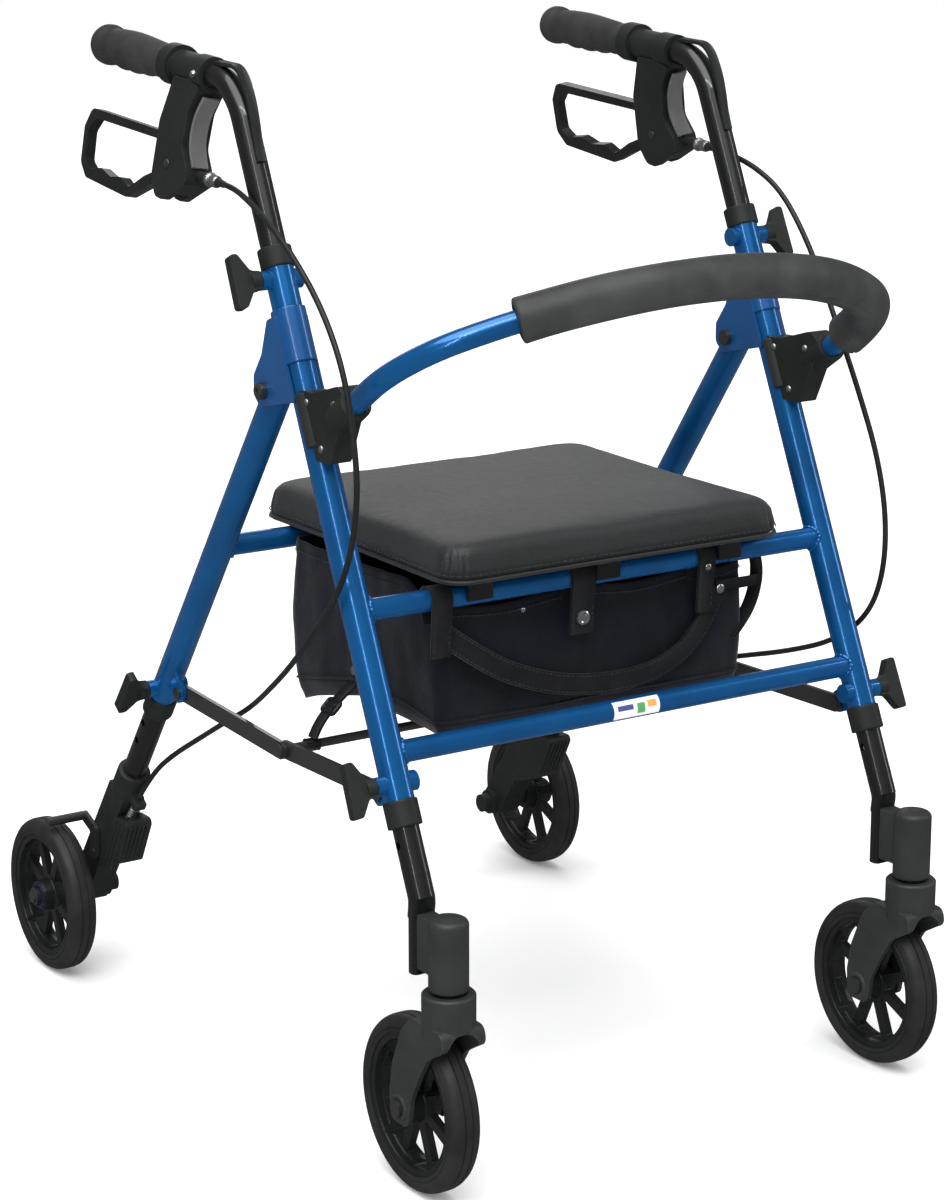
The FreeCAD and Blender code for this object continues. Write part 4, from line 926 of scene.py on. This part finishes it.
def hoop_line(forward):
    """Centre line of the padded stretch of the hoop, from its left end round the right corner."""
    corner_x = HOOP_HALF_WIDTH - HOOP_CORNER
    gap = HOOP_DEPTH - HOOP_ARM
    crown = (corner_x ** 2 + gap ** 2 - HOOP_CORNER ** 2) / (2 * (gap - HOOP_CORNER))
    crown_centre = HOOP_DEPTH - crown
    lean = atan2(corner_x, HOOP_ARM - crown_centre)
    points = [HOOP_BASE + X * crown * s + forward * (crown_centre + crown * c)
              for c, s in arc(asin(FOAM_START_X / crown), lean, 60)]
    points += [HOOP_BASE + X * (corner_x + HOOP_CORNER * s) + forward * (HOOP_ARM + HOOP_CORNER * c)
               for c, s in arc(lean, pi / 2, 40)[1:]]
    return spaced(points, 220)


def make_foam():
    """Closed-cell foam sleeve: soft cut ends, faint swelling, a glued seam on the inside and bend creases."""
    forward = Vector((0, -cos(HOOP_TILT), sin(HOOP_TILT)))
    line = hoop_line(forward)
    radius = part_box("backrest_pad")[1].x - HOOP_HALF_WIDTH - 0.0005
    bore, segments, last = 0.0101, 64, len(line) - 1
    total = run_length(line)
    # where along the line, how far out, and how far each ring of points is shifted from there
    stations = [(0, bore, 0.006), (0, bore + 0.003, 0.0008), (0, radius - 0.004, 0.0),
                (0, radius - 0.0012, 0.0008)]
    stations += [(index, radius, 0.0) for index in range(1, last)]
    stations += [(last, radius - 0.0012, -0.0008), (last, radius - 0.004, 0.0), (last, bore + 0.003, -0.0008),
                 (last, bore, -0.006)]
    stations += [(index, bore, 0.0) for index in range(last - 8, 5, -8)]
    frames = frames_along(line, X.cross(forward))
    vertices = []
    for index, reach, shift in stations:
        tangent, normal, across = frames[index]
        along = index * total / last
        end_swell = 0.0006 * (exp(-along / 0.02) + exp(-(total - along) / 0.02))
        place = line[index] + tangent * shift
        for number, (c, s) in enumerate(circle(segments)):
            away = normal * c + across * s
            local = reach
            if reach > bore + 0.004:
                seam = 2 * pi * min(number, segments - number) / segments
                local += end_swell + 0.0005 * noise.noise(place * 14 + away * 0.6)
                local -= 0.0009 * exp(-(seam / 0.045) ** 2)
            vertices.append(place + away * local)
    foam = finished("backrest_foam", vertices, rings_to_faces(len(stations), segments, loop=True), "foam", 45)
    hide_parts("backrest_pad")
    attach(foam, "backrest")
    # plug near the foam's right end, and the button that locks the hoop
    index = int(last * 0.955)
    tangent = frames[index][0]
    toward = Vector((-0.5, -0.75, 0.2))
    away = (toward - tangent * tangent.dot(toward)).normalized()
    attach(lathe("backrest_foam_plug", [(0, -1.5), (2.6, -1.5), (2.8, -0.2), (2.2, 0.3), (0, 0.1)],
                  basis(line[index] + away * radius, tangent, away), "black_plastic", 20), "backrest")
    below = -X.cross(forward)
    under = basis(line[last] + frames[last][0] * 0.006 + below * 0.0095, X, below)
    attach(dome_rivet("backrest_button", under, 3.2, 4.5), "backrest")


# ------------------------------------------------------------------ bag
BAG_HEM, FRONT_HEM, HEM_BY_RAIL = 0.479, 0.4585, 0.459
# height of the bag's lower edge along Y, highest where the pull straps hold it
BAG_BASE = ((-0.208, 0.342), (-0.165, 0.349), (-0.128, 0.354), (-0.09, 0.355), (-0.047, 0.3455),
            (-0.011, 0.336), (0.009, 0.3305))
LOOP_X = (-0.166, -0.024, 0.107)


def bag_floor(y):
    for (start, first), (end, second) in zip(BAG_BASE, BAG_BASE[1:]):
        if y <= end:
            return first + (second - first) * max(0.0, (y - start) / (end - start))
    return BAG_BASE[-1][1]


def make_bag():
    """Sewn nylon bag: a lofted shell that sags between its hangers, with soft folds and a bound hem."""
    low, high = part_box("bag")
    front, rear = low.y, high.y
    front_half, rear_half = 0.161, high.x
    around, levels = 260, 30
    stops = (-front_half,) + LOOP_X + (front_half,)

    def hem_of(point):
        """The hem sags between the hangers on the front rail and climbs at the sides."""
        if point.y > front + 0.012:
            climb = smooth_step(point.y, front + 0.012, front + 0.05)
            sag = 0.004 * sin(pi * (point.y - front) / (rear - front))
            return HEM_BY_RAIL + (BAG_HEM - HEM_BY_RAIL) * climb - sag
        for before, after in zip(stops, stops[1:]):
            if before <= point.x <= after:
                return FRONT_HEM - 0.005 * sin(pi * (point.x - before) / (after - before)) ** 2
        return FRONT_HEM

    corners = [(-front_half, front), (front_half, front), (rear_half, rear), (-rear_half, rear)]
    loop = outline(corners, 0.011, around)
    outward = outward_of(loop)
    vertices = []
    for level in range(levels + 1):
        share = level / levels
        for point, away, (c, s) in zip(loop, outward, circle(around)):
            hem, bottom = hem_of(point), bag_floor(point.y)
            turned = Vector((c, s, 0))
            fold = noise.noise(turned * 2.6 + Z * share * 1.3)
            pucker = noise.noise(turned * 9 + Z * (share * 5 + 4))
            drape = 0.004 * sin(pi * share) + 0.006 * fold * (0.3 + 0.7 * share) + 0.0011 * pucker
            tuck = -0.0035 * smooth_step(share, 0.88, 1.0) ** 2
            band = 0.0008 if share < 0.07 else 0.0
            place = point + away * (drape + tuck + band - 0.003)
            place.z = hem + (bottom - hem) * share
            vertices.append(place)
    middle = Vector((0, (front + rear) / 2, 0))
    for inset in (0.03, 0.12, 0.3, 0.5, 0.7, 0.88):
        for point in loop:
            place = middle + (point - middle) * (0.96 - inset)
            sag = 0.004 * sin(pi / 2 * inset) + 0.0015 * noise.noise(place * 30)
            place.z = bag_floor(place.y) - sag
            vertices.append(place)
    bag = make_piece("bag_shell", vertices, rings_to_faces(levels + 7, around, cap_start=False), "bag_cloth")
    modified(recalculated(bag), "SOLIDIFY", thickness=0.0014, offset=-1)
    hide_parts("bag")
    hem_line, base_line = (
        [vertices[level * around + index] + away * lift for index, away in enumerate(outward)]
        for level, lift in ((2, 0.0008), (levels - 4, 0.0007)))
    hem_stitches = stitch_row("bag_hem_stitches", hem_line + [hem_line[0]], outward, 0.005)
    seam = tube("bag_base_seam", base_line, 0.0011, "bag_trim", 8, closed=True)
    for piece in (bag, hem_stitches, seam):
        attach(piece, "front_frame")
        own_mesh(piece)
    for piece in rail_loops() + bag_fittings(front):
        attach(piece, "front_frame")


def edge_stitches(name, rows, pitch, length):
    """Stitches down both edges of a strap that faces forward."""
    return [stitch_row(f"{name}_stitch_{letter}", row, [-Y] * len(row), pitch, length)
            for letter, row in zip("ab", rows)]


def rail_loops():
    """Webbing that wraps the front seat rail and is sewn to the bag under it; the middle one has a snap."""
    gap = 0.0112
    pieces = []
    for name, x, width in zip(("left", "middle", "right"), LOOP_X, (0.02, 0.025, 0.018)):
        path = [Vector((x, SEAT_RAIL.y - 0.0075, 0.420)), Vector((x, SEAT_RAIL.y - 0.0085, 0.446))]
        path += [Vector((x, SEAT_RAIL.y + gap * c, SEAT_RAIL.z + gap * s))
                 for c, s in arc(radians(200), radians(-16), 8)]
        line = smooth_line(path + [Vector((x, SEAT_RAIL.y + 0.004, 0.447))], 44)
        rows = [[point + X * edge * (width / 2 - 0.0028) - Y * 0.0012 for point in line[1:12]]
                for edge in (-1, 1)]
        pieces += [strap(f"bag_loop_{name}", line, X, width, 0.0021)]
        pieces += edge_stitches(f"bag_loop_{name}", rows, 0.004, 0.0027)
        if name == "middle":
            pieces.append(lathe("bag_snap_middle", [(0, 2.6), (2.2, 2.6), (3.1, 2.2), (4.6, 2.9), (6.2, 2.2),
                                                    (6.9, 0.9), (6.9, -0.4), (0, -0.4)],
                                basis(Vector((x, SEAT_RAIL.y - 0.0092, 0.4345)), X, -Y), "chrome", 32))
    return pieces


def bag_fittings(front):
    # carrying handle of webbing that hangs in front of the bag
    hang = [(-164, 441), (-136, 420), (-100, 397), (-52, 379), (-2, 371), (50, 372), (88, 386), (112, 412),
            (126, 438)]
    line = smooth_line([Vector((x * MM, front - 0.0085 - 0.003 * sin(pi * (x + 164) / 290), z * MM))
                        for x, z in hang], 90)
    pieces = [strap("bag_handle", line, None, 0.019, 0.0019, facing=-Y)]
    rows = [[point + tangent.cross(-Y).normalized() * edge * 0.0072 - Y * 0.0012
             for (tangent, _, _), point in zip(frames_along(line), line)] for edge in (-1, 1)]
    pieces += edge_stitches("bag_handle", rows, 0.0045, 0.003)
    # oval eyelet at its left end, rivets at its right
    eyelet = [Vector((-0.1655 + 0.0075 * c, front - 0.0122, 0.4415 + 0.0042 * s)) for c, s in circle(40)]
    pieces.append(tube("bag_eyelet", eyelet, 0.0016, ("label", "zinc"), 10, closed=True))
    for name, x, proud, z, radius in (("side", 126, 0.0055, 438, 4.6), ("loop", 107, 0.0125, 462, 3.6),
                                      ("rail", -83, 0.0055, 449, 2.6)):
        place = Vector((x * MM, SEAT_RAIL.y - proud, z * MM))
        pieces.append(dome_rivet(f"bag_rivet_{name}", basis(place, X, -Y), radius, 2.2, "chrome"))
    snap_face = basis(Vector((-0.1765, -0.096, 0.381)), Y, -X)
    pieces.append(dome_rivet("bag_snap_left", snap_face, 4.4, 2.0, "chrome"))
    # strap that stands off the right corner, and its keeper
    arc_line = smooth_line([Vector((x * MM, front + 0.004, z * MM)) for x, z in
                            ((170, 474), (179, 452), (175, 424), (163, 402), (148, 388))], 40)
    pieces.append(strap("bag_side_strap", arc_line, Y, 0.016, 0.0019))
    keeper = [Vector((x * MM, front - 0.001, 0.4375)) for x in (128, 140, 152, 164, 177)]
    return pieces + [strap("bag_side_keeper", keeper, None, 0.01, 0.0018, facing=-Y)]


def buckle_piece(name, matrix, width, height, depth):
    """Slider: a rounded frame with a middle bar."""
    half_w, half_h = width / 2, height / 2
    outer = outline([(-half_w, -half_h), (half_w, -half_h), (half_w, half_h), (-half_w, half_h)], 0.003, 40)
    loop = [matrix @ Vector((point.x * 0.88, 0, point.y * 0.88)) for point in outer]
    rim = tube("rim", loop, depth / 2, "gloss_plastic", 10, closed=True)
    across = [matrix @ Vector((x * half_w * 0.86, 0, 0)) for x in (-1, -0.5, 0, 0.5, 1)]
    bar = tube("bar", across, depth / 2.6, "gloss_plastic", 10)
    return joined(name, [rim, bar])


def make_pull_straps():
    """Webbing from the bag's bottom to the rod between the struts, each with a slider buckle."""
    for name, side in SIDES:
        route = [(168, -83, 366), (182, -84, 357), (196, -82.5, 344), (207, -83, 331), (211, -83.5, 322.5)]
        line = smooth_line([Vector((side * x, y, z)) * MM for x, y, z in route], 30)
        wrap = [Vector((side * 0.2118, STRUT_ROD.y + 0.0052 * c, STRUT_ROD.z + 0.0052 * s))
                for c, s in arc(radians(80), radians(-228), 11)]
        band = strap(f"pull_strap_{name}_band", line, Y, 0.013, 0.0018)
        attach(strap(f"pull_strap_{name}_wrap", wrap, X, 0.013, 0.0016), "front_struts")
        middle = basis(line[14], Y, line[15] - line[13])
        buckle = buckle_piece(f"pull_strap_{name}_buckle", middle, 0.021, 0.014, 0.0044)
        for piece in (band, buckle):
            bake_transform(piece)
    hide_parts("pull_straps")


# ------------------------------------------------------------------ hand grips and brakes
# distance along the handle and radius, in millimetres
GRIP_PROFILE = ((112.6, 13.0), (112.8, 15.4), (114.0, 16.4), (117.0, 16.7), (119.5, 16.1), (121.5, 14.9),
                (125, 14.5), (132, 14.9), (142, 15.4), (154, 16.1), (168, 16.9), (182, 17.3), (196, 17.1),
                (208, 16.5), (218, 15.9), (224, 15.8), (226.5, 16.4), (229, 17.8), (233, 18.2), (238, 17.8),
                (241.5, 16.4), (243.6, 13.5), (244.4, 9.0), (244.5, 4.0), (244.3, 0.6))


def make_grips():
    """Tapered rubber grip: a collar, a palm swell, shallow finger waves below and a flanged end."""
    segments = 56
    line = []
    for (start, first), (end, second) in zip(GRIP_PROFILE, GRIP_PROFILE[1:]):
        steps = max(1, round((end - start) / 2.4))
        line += [(start + (end - start) * step / steps, first + (second - first) * step / steps)
                 for step in range(steps)]
    line.append(GRIP_PROFILE[-1])
    for name, _ in SIDES:
        matrix = handle_frame(name)
        vertices = []
        for along, radius in line:
            body = smooth_step(along, 126, 140) * (1 - smooth_step(along, 210, 222))
            wave = 0.75 * body * cos((along - 128) * 2 * pi / 23)
            for c, s in circle(segments):
                reach = radius + wave * max(0.0, -s) ** 2 + 0.6 * max(0.0, s) * body
                vertices.append(at(matrix, reach * c * 0.985, along, reach * s))
        grip = finished(f"grip_{name}", vertices, rings_to_faces(len(line), segments), "grip_rubber", 60)
        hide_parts(f"hand_grip_{name}")
        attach(grip, f"handle_{name}")


# radius and height, in millimetres; the last stretch runs back down the cable
BOOT_PROFILE = ((2.8, -4.0), (4.4, -4.0), (4.2, -2.0), (3.4, 1.0), (3.0, 9.0), (2.7, 9.6), (2.55, -4.0))


def make_brake_details():
    for name, side in SIDES:
        brake, handle = brake_frame(name), handle_frame(name)
        brake_x = brake.to_3x3() @ X
        outward = brake_x * side
        # barrel adjuster: its Z runs forward out of the housing
        barrel = brake @ Matrix.Translation(Vector((0, 0, -85.0)) * MM) @ Matrix.Rotation(radians(90), 4, "X")
        pieces = [knurled(f"brake_nut_{name}", barrel, -17.0, 3.6, 6.6),
                  knurled(f"brake_barrel_{name}", barrel, -11.5, 9.0, 5.4),
                  lathe(f"brake_boot_{name}", BOOT_PROFILE, barrel, "cable_black", 24)]
        # pale grey strip in the hollow of the housing's front edge: a painted highlight that stands for light
        # on the inside of the housing
        plate = smooth_line([at(brake, 0, y, z) for y, z in
                             ((36.5, -20), (46.0, -33), (49.0, -50), (46.5, -66), (36.0, -79))], 26)
        pieces.append(strap(f"brake_painted_light_plate_{name}", plate, brake_x, 0.016, 0.0022, "grey_plastic"))
        # rounded ends of the lever pin on both faces of the housing
        pivot = at(brake, 0, *LEVER_PIVOT)
        for direction, face in ((outward, "outer"), (-outward, "inner")):
            pin_face = basis(pivot + direction * 0.0131, Y, direction)
            pieces.append(dome_rivet(f"brake_pin_{name}_{face}", pin_face, 4.2, 1.5, "dark_metal"))
        # screw of the housing's clamp
        clamp_face = basis(at(brake, side * 15.2, 47, -2), Y, outward)
        pieces.append(hex_bolt(f"brake_clamp_screw_{name}", clamp_face, 5.0, 2.4))
        # dark strip that leaves the clamp and runs down the front of the handle tube
        corner, axes = handle.translation, handle.to_3x3()
        back, above, ahead = axes @ Y, axes @ Z, Vector((0, -FRONT_UP.z, FRONT_UP.y))
        strip = [corner + back * 0.032 + above * 0.0122, corner + back * 0.016 + above * 0.0124,
                 corner + (above + ahead).normalized() * 0.0155]
        strip += [corner - FRONT_UP * down + ahead * out for down, out in
                  ((0.018, 0.0185), (0.040, 0.0165), (0.058, 0.0125), (0.074, 0.0121))]
        strip = smooth_line(strip, 50)
        pieces.append(strap(f"handle_strip_{name}", strip, X, 0.0085, 0.0024, "black_plastic"))
        for piece in pieces:
            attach(piece, f"handle_{name}")


def helix(start, end, radius, turns):
    """Points of a compression spring between two points."""
    axis = (end - start).normalized()
    first = axis.cross(X).normalized()
    second = axis.cross(first)
    count = turns * 16
    return [start.lerp(end, step / count) + (first * c + second * s) * radius
            for step, (c, s) in enumerate(arc(0, 2 * pi * turns, count))]


def make_rear_brakes():
    """Adjuster, return spring, cover ribs and pull rod of each rear brake."""
    cable_y = CABLE_STOP.y
    for name, side in SIDES:
        leg = rear_leg(side)
        body = f"rear_extension_{name}"

        def place(x, y, z):
            """A place on the leg in millimetres, with X outward."""
            return at(leg, x * side, y, z)

        down = basis(place(0, cable_y, CABLE_STOP.z - 4), X, leg.to_3x3() @ -Z)
        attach(knurled(f"rear_adjuster_{name}", down, 5.0, 7.0, 4.4), body)
        coil = helix(place(0, cable_y, 148), place(1.5, cable_y + 3, 112), 0.0041, 11)
        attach(tube(f"rear_spring_{name}", coil, 0.00065, "zinc", 8), body)
        # ribs on the cover: five down its front face and three down its outer side
        ends = [((x, -37.4, 140), (x, -42.2, 97)) for x in (-8.8, -4.4, 0.0, 4.4, 8.8)]
        ends += [((13.4, y, 126 - 0.35 * y), (13.4, y - 5, 60 - 0.55 * y)) for y in (-19.0, -25.0, -31.0)]
        ribs = [tube("rib", smooth_line([place(*top), place(*foot)], 3), 0.0011, "black_plastic", 10)
                for top, foot in ends]
        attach(joined(f"rear_ribs_{name}", ribs), body)
        rod_line = smooth_line([place(0, cable_y, 156), place(0.5, cable_y + 1, 130),
                                place(1.5, cable_y + 3, 110), place(5, -8, 100), place(8.5, 1.0, 93)], 40)
        rod = tube(f"rear_rod_{name}", rod_line, 0.0014, "zinc", 12)
        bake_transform(rod)


# ------------------------------------------------------------------ frame hardware
def middle_of(node):
    """Centre of a cross tube, on the walker's middle plane."""
    low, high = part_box(node)
    return Vector((0, (low.y + high.y) / 2, (low.z + high.z) / 2))


def weld_bead(name, centre, side):
    """Rippled bead where a cross tube meets a leg, on the saddle line of the two tubes."""
    leg_radius, tube_radius, count = 0.0127, 0.0099, 72
    normal = X.cross(FRONT_UP if centre.y < -0.1 else REAR_UP)
    points = []
    for c, s in circle(count):
        offset = (Y * c + Z * s) * tube_radius
        reach = sqrt(leg_radius ** 2 - offset.dot(normal) ** 2)
        points.append(Vector((side * (LEG_X - reach - 0.0003), centre.y, centre.z)) + offset)
    radii = [0.0017 + 0.00035 * sin(step * pi / 2) for step in range(count)]
    return tube(name, points, radii, "blue_frame", 10, closed=True)


# radius and height, in millimetres
STRUT_PIN_PROFILE = ((0, -1.0), (3.8, -1.0), (3.8, 8.6), (6.6, 8.6), (6.8, 9.3), (5.6, 10.6), (3.2, 11.3),
                     (0, 11.4))
HINGE_CAP_PROFILE = ((0, 0.6), (2.2, 0.6), (2.6, 2.2), (5.4, 2.6), (7.0, 1.4), (7.2, -0.6), (0, -0.6))
WASHER_PROFILE = ((3.6, 10.9), (7.4, 10.9), (7.6, 11.3), (7.4, 11.8), (3.6, 11.8), (3.6, 10.9))


def make_hardware():
    rails = (("seat_rail", SEAT_RAIL, "front_frame"),
             ("crossbar", middle_of("lower_crossbar"), "front_frame"),
             ("rear_rail", middle_of("seat_rail_rear"), "rear_frame"))
    for name, side in SIDES:
        for label, centre, body in rails:
            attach(weld_bead(f"weld_{label}_{name}", centre, side), body)

        def beside(x, y, z):
            """Frame on one side of the walker that faces outward."""
            return basis(Vector((side * x, y, z)), Y, X * side)

        # rivets through each backrest gusset
        for number, (y, z) in enumerate(((-0.153, 0.6335), (-0.197, 0.6385), (-0.176, 0.5985))):
            for face, label in ((-1, "in"), (1, "out")):
                matrix = basis(Vector((side * LEG_X + face * 0.010, y, z)), Y, X * face)
                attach(dome_rivet(f"gusset_rivet_{name}_{number}_{label}", matrix, 3.4, 1.9), "front_frame")
        # rivet that carries the open middle pivot of the struts
        pin_face = beside(LEG_X - 0.0064, STRUT_ROD.y, STRUT_ROD.z)
        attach(lathe(f"strut_pin_{name}", STRUT_PIN_PROFILE, pin_face, "dark_metal", 28), "front_struts")
        # dished caps on the hinge bolts
        cap_face = beside(0.2615, HINGE.y, HINGE.z)
        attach(lathe(f"hinge_cap_{name}", HINGE_CAP_PROFILE, cap_face, "dark_metal", 36), "front_frame")
        # washer under each clamp knob
        for knob, body in (("handle_knob", "front_frame"), ("front_knob", "front_frame"),
                           ("rear_knob", "rear_frame")):
            point = joint_point(f"{knob}_{name}_turn")
            knob_face = beside(LEG_X, point.y, point.z)
            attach(lathe(f"{knob}_washer_{name}", WASHER_PROFILE, knob_face, "zinc", 32), body)


def make_label():
    """Plain label wrapped round the front of the lower crossbar, with coloured fields and no lettering."""
    low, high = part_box("lower_crossbar")
    centre, radius = middle_of("lower_crossbar"), (high.z - low.z) / 2
    columns, rows, thickness = 16, 10, 0.00012
    # ends along X in millimetres, angles up from the front in degrees, and the lift off the tube
    for name, look, left, right, bottom, top, lift in (
            ("label_base", "label", -25, 22.5, -38, 62, 0.0001),
            ("label_field_navy", "label_navy", -21, -5, 8, 34, 0.00022),
            ("label_field_green", "label_green", -1, 7, -18, 34, 0.00022),
            ("label_field_orange", "label_orange", 10, 19, 6, 40, 0.00022)):
        across = [X * (left + (right - left) * column / columns) * MM for column in range(columns + 1)]
        vertices = []
        for c, s in arc(radians(bottom), radians(top), rows):
            out = Z * s - Y * c
            vertices += [centre + x + out * (radius + lift) for x in across]
            vertices += [centre + x + out * (radius + lift + thickness) for x in reversed(across)]
        patch = finished(name, vertices, rings_to_faces(rows + 1, 2 * (columns + 1)), look, 60)
        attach(patch, "front_frame")


# ------------------------------------------------------------------ run
make_camera()
make_studio()
dress_nodes()
make_cables()
make_forks()
make_crimps()
make_wheels()
make_seat()
make_foam()
make_bag()
make_pull_straps()
make_grips()
make_brake_details()
make_rear_brakes()
make_hardware()
make_label()
